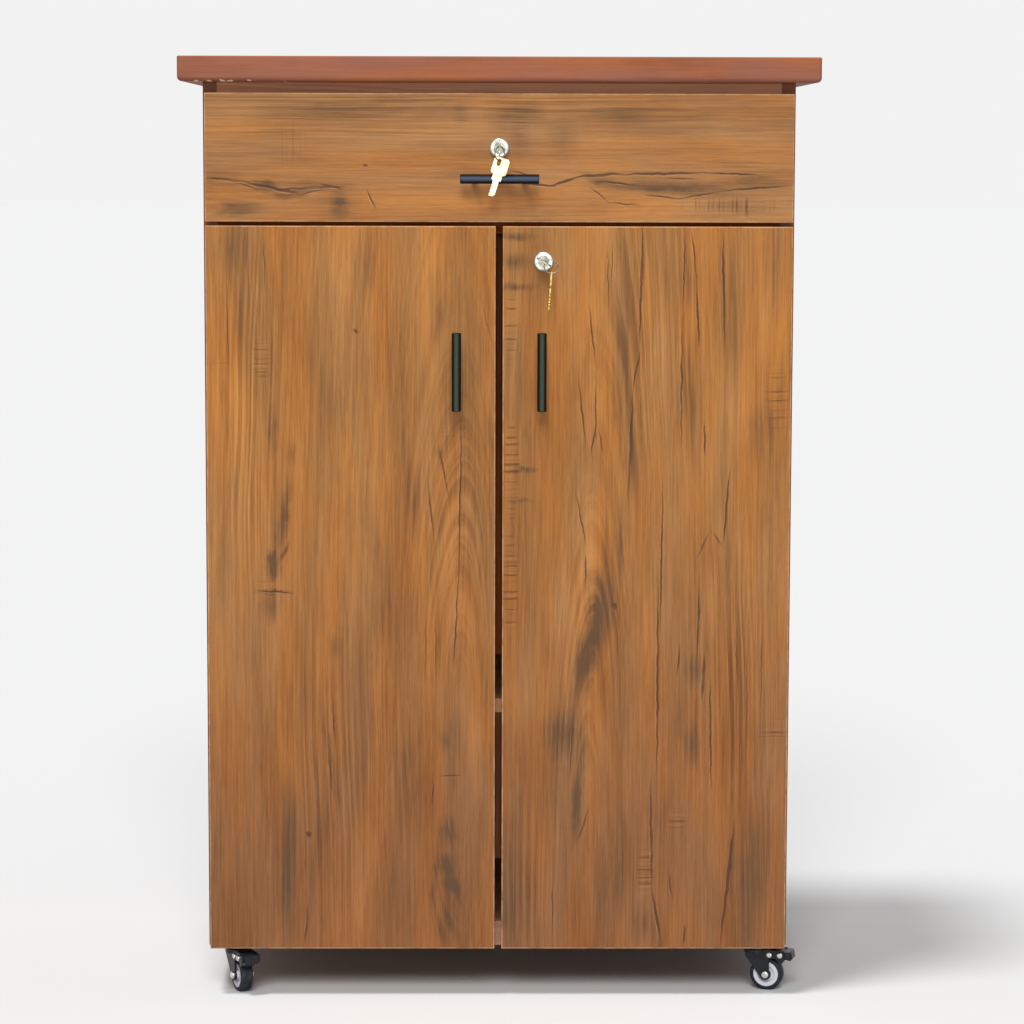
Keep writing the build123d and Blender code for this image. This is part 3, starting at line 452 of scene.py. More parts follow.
LEFT_CHECKS: Marks = (
    Mark(-0.304, 0.833, 0.015, 0.034, 0.8), Mark(-0.355, 0.83, 0.028, 0.015, 0.25),
    Mark(-0.067, 0.738, 0.021, 0.008, 0.5), Mark(-0.298, 0.545, 0.021, 0.013, 0.6),
)
LEFT_GLOWS: Marks = (
    Mark(-0.202, 0.928, 0.018, 0.09, 0.13), Mark(-0.093, 0.954, 0.023, 0.09, 0.13),
    Mark(-0.172, 0.679, 0.052, 0.142, 0.07), Mark(-0.03, 0.347, 0.021, 0.11, 0.16),
    Mark(-0.06, 0.536, 0.015, 0.09, 0.14), Mark(-0.189, 0.51, 0.012, 0.077, 0.12),
    Mark(-0.289, 0.458, 0.012, 0.077, 0.12), Mark(-0.365, 0.575, 0.013, 0.336, 0.08),
    Mark(-0.177, 0.142, 0.013, 0.065, 0.12), Mark(-0.022, 0.756, 0.018, 0.116, 0.08),
)
RIGHT_STAINS: Marks = (
    Mark(0.126, 0.49, 0.024, 0.13, 0.5, 13), Mark(0.083, 0.345, 0.038, 0.075, 0.35),
    Mark(0.105, 0.275, 0.011, 0.09, 0.4, 3), Mark(0.326, 0.165, 0.03, 0.13, 0.4, 4),
    Mark(0.02, 0.15, 0.03, 0.11, 0.3), Mark(0.174, 0.17, 0.015, 0.11, 0.35),
    Mark(0.164, 0.835, 0.019, 0.185, 0.42, -1.5), Mark(0.243, 0.935, 0.016, 0.045, 0.35),
    Mark(0.02, 0.99, 0.034, 0.007, 0.7, 1), Mark(0.018, 0.958, 0.033, 0.015, 0.6),
    Mark(0.02, 0.926, 0.036, 0.007, 0.7, 1), Mark(0.031, 0.691, 0.026, 0.006, 0.75),
    Mark(0.027, 0.651, 0.021, 0.005, 0.55), Mark(0.021, 0.84, 0.018, 0.046, 0.3),
    Mark(0.162, 0.923, 0.015, 0.11, 0.15), Mark(0.172, 0.721, 0.014, 0.093, 0.45, 1),
    Mark(0.157, 0.595, 0.01, 0.077, 0.4), Mark(0.25, 0.775, 0.02, 0.105, 0.5, -2),
    Mark(0.289, 0.913, 0.018, 0.1, 0.35), Mark(0.353, 0.949, 0.018, 0.077, 0.35),
    Mark(0.134, 0.508, 0.025, 0.057, 0.65), Mark(0.11, 0.439, 0.017, 0.049, 0.65),
    Mark(0.081, 0.347, 0.031, 0.039, 0.6), Mark(0.101, 0.255, 0.009, 0.053, 0.6, 1),
    Mark(0.253, 0.43, 0.017, 0.028, 0.6), Mark(0.252, 0.335, 0.012, 0.039, 0.6),
    Mark(0.159, 0.183, 0.013, 0.097, 0.5), Mark(0.191, 0.096, 0.022, 0.036, 0.45),
    Mark(0.3, 0.156, 0.008, 0.1, 0.45, 6), Mark(0.014, 0.116, 0.015, 0.058, 0.45),
    Mark(0.34, 0.348, 0.028, 0.034, 0.2), Mark(0.341, 0.744, 0.021, 0.044, 0.3),
    Mark(0.061, 0.262, 0.039, 0.077, 0.25), Mark(0.332, 0.156, 0.021, 0.077, 0.25),
    Mark(0.212, 0.063, 0.008, 0.034, 0.4), Mark(0.297, 0.731, 0.021, 0.077, 0.15),
)
RIGHT_CRACKS: Marks = (
    Mark(0.236, 0.95, 0.0015, 0.06, 0.8, 1), Mark(0.183, 0.965, 0.0015, 0.05, 0.7, -1),
    Mark(0.285, 0.96, 0.0014, 0.05, 0.6), Mark(0.095, 0.33, 0.0016, 0.06, 0.6, 3),
    Mark(0.34, 0.43, 0.0013, 0.1, 0.45), Mark(0.322, 0.4, 0.0013, 0.11, 0.45),
    Mark(0.313, 0.33, 0.0013, 0.09, 0.4), Mark(0.181, 0.92, 0.0019, 0.092, 0.8, 1),
    Mark(0.176, 0.821, 0.0022, 0.027, 0.8, 11), Mark(0.169, 0.724, 0.0022, 0.089, 0.8, 2),
    Mark(0.249, 0.961, 0.0017, 0.044, 0.7, -6), Mark(0.254, 0.888, 0.0021, 0.048, 0.9, -3),
    Mark(0.287, 0.918, 0.0018, 0.089, 0.7, -1), Mark(0.234, 0.796, 0.0019, 0.102, 0.85),
    Mark(0.264, 0.732, 0.0018, 0.028, 0.8, -1), Mark(0.293, 0.643, 0.0019, 0.06, 0.85, 4),
    Mark(0.21, 0.58, 0.0018, 0.125, 0.75, 0.6), Mark(0.206, 0.419, 0.0022, 0.158, 0.9),
    Mark(0.199, 0.213, 0.0025, 0.084, 0.9, -1), Mark(0.207, 0.106, 0.0025, 0.046, 0.8, -10),
    Mark(0.258, 0.493, 0.0021, 0.057, 0.8, 1), Mark(0.265, 0.423, 0.0026, 0.034, 1, 3),
    Mark(0.275, 0.35, 0.0019, 0.093, 0.8, -1), Mark(0.299, 0.151, 0.0028, 0.098, 1, 6),
    Mark(0.119, 0.867, 0.0017, 0.05, 0.6, -7), Mark(0.124, 0.773, 0.0017, 0.066, 0.5),
    Mark(0.107, 0.763, 0.0019, 0.067, 0.55, -6), Mark(0.121, 0.728, 0.0019, 0.026, 0.55, 9),
    Mark(0.131, 0.728, 0.0017, 0.026, 0.45, -8), Mark(0.106, 0.628, 0.0018, 0.049, 0.6, -11),
    Mark(0.149, 0.514, 0.005, 0.006, 0.9), Mark(0.111, 0.228, 0.0021, 0.033, 0.55, 18),
    Mark(0.263, 0.594, 0.0021, 0.026, 0.4, 25), Mark(0.282, 0.602, 0.0021, 0.017, 0.4, -31),
    Mark(0.233, 0.446, 0.0021, 0.03, 0.6, 4), Mark(0.112, 0.562, 0.0019, 0.028, 0.6),
    Mark(0.308, 0.446, 0.0017, 0.06, 0.4, -3), Mark(0.071, 0.113, 0.0015, 0.05, 0.5),
    Mark(0.243, 0.081, 0.0021, 0.018, 0.7, 2), Mark(0.225, 0.146, 0.0018, 0.027, 0.5, -7),
    Mark(0.144, 0.955, 0.0015, 0.051, 0.4, 2), Mark(0.139, 0.934, 0.0017, 0.072, 0.4, -1),
)
RIGHT_CHECKS: Marks = (
    Mark(0.015, 0.872, 0.012, 0.059, 0.8), Mark(0.016, 0.692, 0.013, 0.077),
    Mark(0.015, 0.543, 0.012, 0.09), Mark(0.192, 0.163, 0.015, 0.044, 0.7),
    Mark(0.357, 0.783, 0.023, 0.065, 0.45), Mark(0.359, 0.348, 0.028, 0.031, 0.4),
    Mark(0.234, 0.236, 0.021, 0.023, 0.5),
)
RIGHT_GLOWS: Marks = (
    Mark(0.118, 0.602, 0.021, 0.129, 0.12), Mark(0.08, 0.511, 0.023, 0.065, 0.14),
    Mark(0.041, 0.393, 0.039, 0.077, 0.1), Mark(0.213, 0.847, 0.018, 0.129, 0.1),
    Mark(0.139, 0.341, 0.013, 0.077, 0.12), Mark(0.273, 0.524, 0.013, 0.065, 0.12),
    Mark(0.37, 0.576, 0.013, 0.155, 0.1), Mark(0.209, 0.472, 0.036, 0.077, 0.08),
    Mark(0.12, 0.129, 0.013, 0.077, 0.08),
)
DRAWER_STAINS: Marks = (
    Mark(0.17, 1.142, 0.2, 0.032, 0.36), Mark(0.005, 1.14, 0.028, 0.042, 0.35),
    Mark(-0.19, 1.14, 0.19, 0.032, 0.26), Mark(-0.205, 1.03, 0.034, 0.032, 0.35),
    Mark(-0.335, 1.02, 0.05, 0.02, 0.25), Mark(-0.296, 1.052, 0.026, 0.011, 0.8, 18),
    Mark(-0.262, 1.044, 0.03, 0.008, 0.6, -8), Mark(-0.33, 1.024, 0.045, 0.013, 0.45),
    Mark(0.235, 1.052, 0.11, 0.012, 0.55), Mark(0.13, 1.062, 0.03, 0.008, 0.5, 12),
    Mark(0.32, 1.06, 0.055, 0.011, 0.5), Mark(-0.19, 1.15, 0.09, 0.012, 0.3),
    Mark(0.08, 1.11, 0.026, 0.03, 0.3), Mark(0.033, 1.148, 0.031, 0.021, 0.45),
    Mark(0.026, 1.113, 0.018, 0.028, 0.35), Mark(-0.203, 1.03, 0.015, 0.026, 0.45),
    Mark(0.153, 1.141, 0.052, 0.015, 0.2), Mark(-0.254, 1.054, 0.077, 0.01, 0.35),
    Mark(0.179, 1.058, 0.116, 0.012, 0.3), Mark(-0.127, 1.03, 0.077, 0.013, 0.15),
    Mark(0.313, 1.029, 0.065, 0.021, 0.2), Mark(-0.05, 1.144, 0.013, 0.018, 0.25),
    Mark(-0.348, 1.066, 0.031, 0.008, 0.25),
)
DRAWER_CRACKS: Marks = (
    Mark(-0.345, 1.061, 0.035, 0.0021, 0.9, 6), Mark(-0.287, 1.05, 0.042, 0.0023, 1, 12),
    Mark(-0.24, 1.051, 0.051, 0.0025, 1, -3), Mark(-0.238, 1.046, 0.019, 0.0018, 0.8, -11),
    Mark(-0.214, 1.053, 0.02, 0.0017, 0.7, 12), Mark(-0.171, 1.079, 0.005, 0.0026, 0.8),
    Mark(-0.163, 1.036, 0.0018, 0.017, 0.7, -26), Mark(0.048, 1.056, 0.028, 0.0021, 0.9, 6),
    Mark(0.084, 1.06, 0.023, 0.0025, 1, -18), Mark(0.126, 1.068, 0.035, 0.0026, 1, -5),
    Mark(0.205, 1.07, 0.066, 0.0023, 0.9, -1), Mark(0.297, 1.07, 0.048, 0.0018, 0.7, 2),
    Mark(0.128, 1.043, 0.0017, 0.022, 0.6, -52), Mark(0.159, 1.032, 0.026, 0.0017, 0.5, 5),
    Mark(0.206, 1.041, 0.031, 0.0018, 0.6, 7), Mark(0.255, 1.043, 0.034, 0.0018, 0.6, -10),
    Mark(0.327, 1.052, 0.058, 0.0019, 0.7, -4), Mark(0.151, 1.058, 0.033, 0.0018, 0.6, 6),
    Mark(-0.323, 1.054, 0.024, 0.0015, 0.5, 15), Mark(0.025, 1.071, 0.017, 0.0015, 0.5, 15),
    Mark(0.23, 1.064, 0.029, 0.0015, 0.5, 3),
)
DRAWER_CHECKS: Marks = (
    Mark(0.31, 1.029, 0.07, 0.019, 0.5), Mark(-0.266, 1.106, 0.028, 0.046, 0.35),
    Mark(0.256, 1.032, 0.039, 0.013, 0.4),
)
DRAWER_GLOWS: Marks = (
    Mark(-0.088, 1.037, 0.116, 0.015, 0.1), Mark(0.077, 1.081, 0.116, 0.013, 0.1),
    Mark(-0.33, 1.137, 0.052, 0.031, 0.06), Mark(0.255, 1.138, 0.103, 0.026, 0.06),
)
# Where the year rings show clearly.
LEFT_FIGURE: Marks = (
    Mark(-0.325, 0.74, 0.06, 0.33), Mark(-0.06, 0.62, 0.075, 0.26, 0.7), Mark(-0.2, 0.3, 0.1, 0.23, 0.8),
)
RIGHT_FIGURE: Marks = (
    Mark(0.117, 0.48, 0.07, 0.24, 0.75), Mark(0.3, 0.42, 0.07, 0.23, 0.9), Mark(0.19, 0.85, 0.08, 0.2, 0.6),
    Mark(0.06, 0.15, 0.08, 0.12, 0.6),
)
# Chips along the lower front edge of the worktop.
WORKTOP_CHIPS: Marks = (
    Mark(-0.384, 1.1863, 0.006, 0.0016), Mark(-0.366, 1.1865, 0.004, 0.0018),
    Mark(-0.35, 1.1869, 0.006, 0.002, 1, 14), Mark(-0.341, 1.1864, 0.005, 0.0014),
    Mark(-0.316, 1.1863, 0.004, 0.0012), Mark(-0.272, 1.1863, 0.003, 0.0011),
)


def front_outline(name: str) -> tuple[float, float, float, float]:
    """Where the front of a board ends: left, right, bottom and top, in its own metres."""
    across, _, up = zip(*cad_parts[name].bound_box)
    return min(across), max(across), min(up), max(up)


@dataclass(frozen=True)
class WoodPattern:
    """The noises that one wood finish is made from, and the points that they are drawn at."""

    sheet: ShaderSheet
    grain: Place
    flat: Place
    wobble: Place
    rough_flat: Place
    fine_flat: Place
    lines: Signal
    fibres: Signal
    threads: Signal
    clouds: Signal


@dataclass(frozen=True)
class WoodFinish:
    """Wood-grain laminate of one board, cut from a log whose pith runs beside the board.

    The pith lies at pith_across across the grain and pith_depth behind the board, and leans by
    pith_slope along it, counted from pith_along. Tones run from deep through middle to pale.
    Below low_from the colour is multiplied by painted_low_light, fully at low_to: painted shade where that
    darkens it, painted light where it brightens it. Lengths are in metres.
    """

    name: str
    run: GrainRun = GrainRun.UPRIGHT_FRONT
    pale: Colour = srgb(207, 147, 84)
    middle: Colour = srgb(174, 116, 58)
    deep: Colour = srgb(112, 70, 34)
    golden: Colour = (1.12, 1.0, 0.76)
    rosy: Colour = (0.93, 0.97, 1.06)
    stain: Colour = srgb(97, 70, 47)
    crack: Colour = srgb(84, 46, 22)
    edge: Colour = srgb(196, 142, 96)
    # Pale colour of the line along a front's outline, and of the painted highlight under each crack.
    rim: Colour = srgb(226, 182, 142)
    flake: Colour = srgb(246, 226, 196)
    edge_share: float = 0.0
    pith_across: float = 0.0
    pith_depth: float = 0.06
    pith_slope: float = 0.05
    pith_along: float = 0.0
    ring_spacing: float = 0.0055
    ring_strength: float = 0.26
    figure_away: float = 1.0
    fibre_strength: float = 0.6
    cloud_strength: float = 0.8
    waviness: float = 0.018
    offset: Triple = (0.0, 0.0, 0.0)
    outline_of: str = ""
    figure: Marks = ()
    stains: Marks = ()
    cracks: Marks = ()
    glows: Marks = ()
    checks: Marks = ()
    chips: Marks = ()
    # Colour multiplier of the painted light and shade towards the board's foot, and the heights and faces
    # that it covers.
    painted_low_light: Colour = (0.54, 0.51, 0.84)
    low_from: float = 0.0
    low_to: float = 0.0
    low_inside: bool = False
    roughness: float = 0.5
    gloss: float = 0.2

    def grain_place(self, sheet: ShaderSheet) -> Place:
        """The shaded point, turned so that x is across the grain, y through and z along it."""
        here = sheet.here() + self.offset
        axes = {axis: here.part(axis) for axis in ("X", "Y", "Z")}
        across, through, along = self.run.value
        inputs = {"X": axes[across], "Y": axes[through], "Z": axes[along]}
        return sheet.place("ShaderNodeCombineXYZ", {}, inputs)

    def rings(self, sheet: ShaderSheet, grain: Place) -> Signal:
        """Dark and light bands where the board cuts the log's year rings.

        Args:
            sheet: The shader.
            grain: The point, turned to the grain.

        Returns:
            The bands, about 0.5.
        """
        bend = sheet.speckle(grain, BEND_CELLS, detail=2.0) - 0.5
        drift = sheet.speckle(grain, DRIFT_CELLS, detail=2.0) - 0.5
        across = grain.part("X") - self.pith_across
        across = across + bend * (2 * self.waviness) + drift * (0.35 * self.waviness)
        along = grain.part("Z") - self.pith_along
        depth = along * self.pith_slope + bend * self.waviness + self.pith_depth
        reach = (across * across + depth * depth) ** 0.5
        inputs = {"W": reach / self.ring_spacing, "Scale": 1.0, "Detail": 3.0, "Roughness": 0.62}
        return sheet.node("ShaderNodeTexNoise", {"noise_dimensions": "1D"}, inputs, 0)

    def pattern(self, sheet: ShaderSheet) -> WoodPattern:
        """Draw the noises that the rest of the finish is made from."""
        grain = self.grain_place(sheet)
        flat = sheet.here() * FACE_ONLY
        inputs = {"Vector": flat * WOBBLE_CELLS, "Scale": 1.0, "Detail": 3.0}
        wobble = sheet.place("ShaderNodeTexNoise", {"noise_dimensions": "3D"}, inputs, "Color")
        sway = wobble - (0.5, 0.5, 0.5)
        return WoodPattern(
            sheet=sheet, grain=grain, flat=flat, wobble=wobble,
            rough_flat=flat + sway * ROUGH_SWAY, fine_flat=flat + sway * FINE_SWAY,
            lines=self.rings(sheet, grain),
            fibres=sheet.speckle(grain, FIBRE_CELLS, roughness=0.6),
            threads=sheet.speckle(grain, THREAD_CELLS, detail=2.0),
            clouds=sheet.speckle(grain, CLOUD_CELLS, detail=4.0, roughness=0.6, warp=0.4))

    def laminate(self, wood: WoodPattern) -> Place:
        """The printed wood before any mark: its tone, its hue and its pores.

        Args:
            wood: The noises.

        Returns:
            The colour.
        """
        sheet = wood.sheet
        patches = sheet.speckle(wood.grain + (3.0, 1.0, 2.0), PATCH_CELLS)
        clarity = patches.fade(0.42, 0.66, 0.1, self.figure_away) + drawn(self.figure, wood.flat)
        tone = (wood.lines.fade(0.32, 0.68) - 0.5) * self.ring_strength * clarity
        tone = tone + (wood.fibres - 0.5) * self.fibre_strength
        tone = tone + (wood.threads - 0.5) * (0.5 * self.fibre_strength)
        tone = tone + (wood.clouds - 0.5) * self.cloud_strength + 0.52
        if self.glows:
            tone = tone + drawn(self.glows, wood.rough_flat)
        stops = [(0.12, self.deep), (0.5, self.middle), (0.86, self.pale)]
        colour = sheet.place("ShaderNodeValToRGB", {"stops": stops}, {"Fac": tone})
        hue = sheet.speckle(wood.grain + (5.0, 2.0, 7.0), HUE_CELLS)
        tint = sheet.blend(hue.fade(0.36, 0.64), self.golden, self.rosy)
        colour = sheet.blend(1.0, colour, tint, "MULTIPLY")
        pores = wood.threads.fade(0.62, 0.74) * wood.fibres.fade(0.45, 0.6)
        return sheet.blend(pores * 0.35, colour, self.deep)

    def lower(self, wood: WoodPattern, colour: Place) -> Place:
        """Multiply the colour towards the board's foot by a tint: painted shade where it darkens, painted
        light where it brightens.
        """
        low = wood.sheet.here().part("Z").fade(self.low_to, self.low_from, 1.0, 0.0)
        if self.low_inside:
            low = low * wood.sheet.facing().part("Y").fade(-0.9, -0.5, 1.0, 0.0)
        return wood.sheet.blend(low * 0.8, colour, self.painted_low_light, "MULTIPLY")

    def stained(self, wood: WoodPattern, colour: Place) -> Place:
        """Lay grey-brown stains, feathered along the grain."""
        feather = wood.lines.fade(0.3, 0.7, 1.15, 0.45) * wood.fibres.fade(0.3, 0.7, 1.1, 0.7)
        smudge = drawn(self.stains, wood.rough_flat) * feather * 1.35
        return wood.sheet.blend(smudge.maths("MINIMUM", 0.9), colour, self.stain)

    def cracked(self, wood: WoodPattern, colour: Place) -> Place:
        """Print dark cracks, each with a painted highlight below it, as if its lower lip caught the light.
        """
        split = drawn(self.cracks, wood.fine_flat).fade(0.02, 0.55)
        # Painted highlight: the cracks drawn again, shifted down, in the pale colour.
        crack_highlight = drawn(self.cracks, wood.fine_flat + CRACK_HIGHLIGHT_SHIFT).fade(0.2, 0.9)
        colour = wood.sheet.blend(crack_highlight * 0.3, colour, self.rim)
        split = split * wood.sheet.speckle(wood.grain, CRACK_CELLS).fade(0.3, 0.5, 0.65, 1.0)
        return wood.sheet.blend(split * 0.86, colour, self.crack)

    def sawn(self, wood: WoodPattern, colour: Place) -> Place:
        """Print the short rows of saw marks that run across the grain, with faint painted highlights
        between the dark marks.
        """
        level = wood.grain.part("Z") + (wood.wobble.part("X") - 0.5) * 0.004
        inputs = {"W": level, "Scale": SAW_CELLS, "Detail": 2.0}
        steps = wood.sheet.node("ShaderNodeTexNoise", {"noise_dimensions": "1D"}, inputs, 0)
        rows = drawn(self.checks, wood.rough_flat).fade(0.05, 0.6)
        colour = wood.sheet.blend(steps.fade(0.56, 0.66) * rows * 0.6, colour, self.crack)
        # Painted highlight: faint pale stripes between the dark saw marks.
        return wood.sheet.blend(steps.fade(0.44, 0.34) * rows * 0.18, colour, self.edge)

    def edged(self, sheet: ShaderSheet, colour: Place) -> Place:
        """Colour the board's edges."""
        turned = sheet.facing().part(self.run.value[1]).maths("ABSOLUTE")
        return sheet.blend(turned.fade(0.6, 0.98, self.edge_share, 0.0), colour, self.edge)

    def rubbed(self, sheet: ShaderSheet, colour: Place) -> Place:
        """Draw a mottled pale line along the outline of the board's front.

        Args:
            sheet: The shader.
            colour: The colour so far.

        Returns:
            The colour with the pale outline line.
        """
        left, right, bottom, top = front_outline(self.outline_of)
        here = sheet.here()
        beside = (here.part("X") - (left + right) / 2).maths("ABSOLUTE")
        above = (here.part("Z") - (bottom + top) / 2).maths("ABSOLUTE")
        inside = ((right - left) / 2 - beside).maths("MINIMUM", (top - bottom) / 2 - above)
        # Random mottle that breaks the pale line up, only on faces turned to the front or back.
        wear = sheet.speckle(here, WEAR_CELLS).fade(0.35, 0.6, 0.2, 0.75)
        wear = wear * sheet.facing().part("Y").maths("ABSOLUTE").fade(0.5, 0.9)
        return sheet.blend(inside.fade(*PALE_OUTLINE_BAND, 1.0, 0.0) * wear, colour, self.rim)

    def chipped(self, wood: WoodPattern, colour: Place) -> Place:
        """Chip the front edge, where the pale core shows."""
        chip = drawn(self.chips, wood.rough_flat).fade(0.25, 0.5)
        near_front = wood.sheet.here().part("Y").fade(*CHIP_DEPTHS, 1.0, 0.0)
        return wood.sheet.blend(chip * near_front, colour, self.flake)

    def material(self) -> bpy.types.Material:
        """Build the finish.

        Returns:
            The finished material.
        """
        sheet = ShaderSheet.for_finish(self.name)
        wood = self.pattern(sheet)
        colour = self.laminate(wood)
        if self.low_from > 0:
            colour = self.lower(wood, colour)
        if self.stains:
            colour = self.stained(wood, colour)
        if self.cracks:
            colour = self.cracked(wood, colour)
        if self.checks:
            colour = self.sawn(wood, colour)
        if self.edge_share > 0:
            colour = self.edged(sheet, colour)
        if self.outline_of:
            colour = self.rubbed(sheet, colour)
        if self.chips:
            colour = self.chipped(wood, colour)
        height = wood.fibres * 0.3 + wood.threads * 0.3
        shine = (wood.fibres - 0.5) * 0.12 + (wood.clouds - 0.5) * 0.08 + self.roughness
        return sheet.finish({"Base Color": colour, "Roughness": shine, "Specular IOR Level": self.gloss,
                             "Normal": sheet.bump(height, WOOD_RELIEF)})


@dataclass(frozen=True)
class MetalFinish:
    """Bare or plated metal with fine scratches and smears."""

    name: str
    colour: Colour = srgb(205, 203, 198)
    shade: Colour = srgb(150, 146, 138)
    roughness: float = 0.2
    scratch: float = 0.12

    def material(self) -> bpy.types.Material:
        """Build the finish.

        Returns:
            The finished material.
        """
        sheet = ShaderSheet.for_finish(self.name)
        here = sheet.here()
        smear = sheet.speckle(here, SMEAR_CELLS, detail=4.0)
        lines = sheet.speckle(here, SCRATCH_CELLS, detail=2.0)
        pits = sheet.speckle(here, PIT_CELLS, detail=1.0).fade(0.66, 0.78)
        colour = sheet.blend(smear.fade(0.35, 0.7), self.colour, self.shade)
        colour = sheet.blend(pits * 0.2, colour, self.shade)
        rough = (smear - 0.5) * 0.1 + (lines - 0.5) * self.scratch + self.roughness
        height = lines * 0.4 - pits * 0.5
        return sheet.finish({"Base Color": colour, "Metallic": 1.0, "Roughness": rough,
                             "Normal": sheet.bump(height, METAL_RELIEF)})


@dataclass(frozen=True)
class MouldedFinish:
    """Moulded or coated surface: a fine pebble, dust in the hollows and rubbed high spots, and an optional
    painted highlight on the faces that look to the front.
    """

    name: str
    colour: Colour
    rubbed: Colour
    dust: Colour
    roughness: float = 0.5
    pebble: float = 0.5
    pebble_size: float = 0.0004
    dust_share: float = 0.25
    gloss: float = 0.5
    # Colour of a painted highlight mixed into the faces that look to the front, or None for none.
    painted_highlight: Colour | None = None

    def material(self) -> bpy.types.Material:
        """Build the finish.

        Returns:
            The finished material.
        """
        sheet = ShaderSheet.for_finish(self.name)
        here = sheet.here()
        inputs = {"Vector": here, "Scale": 1 / self.pebble_size}
        grit = sheet.node("ShaderNodeTexVoronoi", {"feature": "SMOOTH_F1"}, inputs, 0)
        haze = sheet.speckle(here, HAZE_CELLS, detail=5.0, roughness=0.65)
        rubs = sheet.speckle(here + (0.7, 0.2, 0.1), RUB_CELLS, detail=4.0)
        colour = sheet.blend(rubs.fade(0.5, 0.72), self.colour, self.rubbed)
        colour = sheet.blend(haze.fade(0.48, 0.75) * self.dust_share, colour, self.dust)
        # Painted highlight: the colour turns towards a lighter band where the surface faces the front.
        if self.painted_highlight:
            front = sheet.facing().part("Y") * -1.0
            colour = sheet.blend(front.fade(0.8, 1.0), colour, self.painted_highlight)
        rough = (rubs - 0.5) * 0.2 + (haze - 0.5) * 0.15 + self.roughness
        height = grit * self.pebble + rubs * 0.3
        return sheet.finish({"Base Color": colour, "Roughness": rough, "Specular IOR Level": self.gloss,
                             "Normal": sheet.bump(height, MOULDED_RELIEF)})


def dress(finish: WoodFinish | MetalFinish | MouldedFinish, *names: str) -> None:
    """Give pieces their finish.

    Args:
        finish: The finish.
        names: The pieces that wear it.
    """
    material = finish.material()
    for name in names:
        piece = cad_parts[name]
        piece.data.materials.clear()
        piece.data.materials.append(material)
        log.info("%s is finished in %s", name, finish.name)


@dataclass
class Case:
    """The case: worktop, side panels, boards, rails and its fixed hardware."""

    worktop: WoodFinish = WoodFinish(
        "worktop_laminate", GrainRun.LEVEL_TOP,
        pale=srgb(188, 122, 96), middle=srgb(166, 105, 81), deep=srgb(128, 76, 56),
        pith_across=-0.02, pith_depth=0.09, ring_strength=0.3, ring_spacing=0.004,
        fibre_strength=0.4, cloud_strength=0.35, waviness=0.008, gloss=0.05, chips=WORKTOP_CHIPS)
    panels: WoodFinish = WoodFinish(
        "case_laminate", GrainRun.UPRIGHT_SIDE,
        pale=srgb(196, 138, 84), middle=srgb(162, 106, 60), deep=srgb(108, 66, 36),
        pith_across=0.05, pith_depth=0.3, edge_share=0.85, edge=srgb(116, 62, 38))
    # Below 0.40 m the back panel's inner face turns lighter and bluish, fully at 0.34 m: painted light.
    back: WoodFinish = WoodFinish(
        "back_laminate", GrainRun.UPRIGHT_FRONT,
        pale=srgb(176, 106, 66), middle=srgb(148, 84, 50), deep=srgb(104, 56, 32),
        pith_across=0.5, pith_depth=0.3, low_from=0.40, low_to=0.34, painted_low_light=(1.3, 2.0, 3.2),
        low_inside=True, gloss=0.0)
    rails: WoodFinish = WoodFinish(
        "rail_laminate", GrainRun.LEVEL_FRONT,
        pale=srgb(222, 158, 112), middle=srgb(200, 138, 96), deep=srgb(160, 100, 66),
        pith_across=1.1, ring_strength=0.3)
    level_boards: WoodFinish = WoodFinish(
        "level_board_laminate", GrainRun.LEVEL_TOP,
        pale=srgb(196, 148, 110), middle=srgb(166, 120, 88), deep=srgb(112, 76, 52),
        pith_across=0.1, offset=(0.4, 0.2, 0.0))
    # The divider's colours are darkened to stand for the shade in the door gap: painted shade.
    divider: WoodFinish = WoodFinish(
        "divider_laminate_painted_shade", GrainRun.LEVEL_TOP,
        pale=srgb(150, 78, 40), middle=srgb(124, 60, 28), deep=srgb(84, 36, 16),
        pith_across=0.1, offset=(0.1, 0.4, 0.0), gloss=0.0)
    plating: MetalFinish = MetalFinish("zinc_plating", srgb(176, 178, 180), srgb(162, 163, 165), 0.36)
    nickel: MetalFinish = MetalFinish("hinge_nickel", srgb(200, 197, 190), srgb(160, 156, 148), 0.22)

    def dress(self) -> None:
        """Finish every piece of the case."""
        dress(self.worktop, "worktop")
        dress(self.panels, "side_panel_left", "side_panel_right")
        dress(self.back, "back_panel")
        dress(self.rails, "top_rail_front", "top_rail_back")
        dress(self.level_boards, "bottom_panel", "base_rails", "shelf")
        dress(self.divider, "divider_panel")
        dress(self.plating, "shelf_pins", "slide_outer_members", "slide_middle_members",
              "slide_inner_members", "cabinet_screws", "drawer_screws", "left_door_screws",
              "right_door_screws", "caster_plates")
        dress(self.nickel, "hinge_arms", "left_hinge_cups", "right_hinge_cups")


@dataclass
class Drawer:
    """The drawer: its front with level grain, and its box."""

    front: WoodFinish = WoodFinish(
        "drawer_front_laminate", GrainRun.LEVEL_FRONT,
        pale=srgb(212, 152, 92), middle=srgb(178, 122, 70), deep=srgb(120, 78, 42),
        pith_across=1.02, pith_depth=0.05, pith_slope=0.03, ring_spacing=0.0042, ring_strength=0.2,
        edge_share=0.5, outline_of="drawer_front",
        stains=DRAWER_STAINS, cracks=DRAWER_CRACKS, checks=DRAWER_CHECKS, glows=DRAWER_GLOWS)
    box: WoodFinish = WoodFinish(
        "drawer_box_board", GrainRun.DEEP_SIDE,
        pale=srgb(205, 162, 112), middle=srgb(182, 136, 88), deep=srgb(136, 94, 56),
        pith_across=1.2, ring_strength=0.3)
    ends: WoodFinish = replace(box, name="drawer_end_board", run=GrainRun.LEVEL_FRONT)

    def dress(self) -> None:
        """Finish every piece of the drawer."""
        dress(self.front, "drawer_front")
        dress(self.box, "drawer_side_left", "drawer_side_right")
        dress(self.ends, "drawer_box_ends", "drawer_bottom")


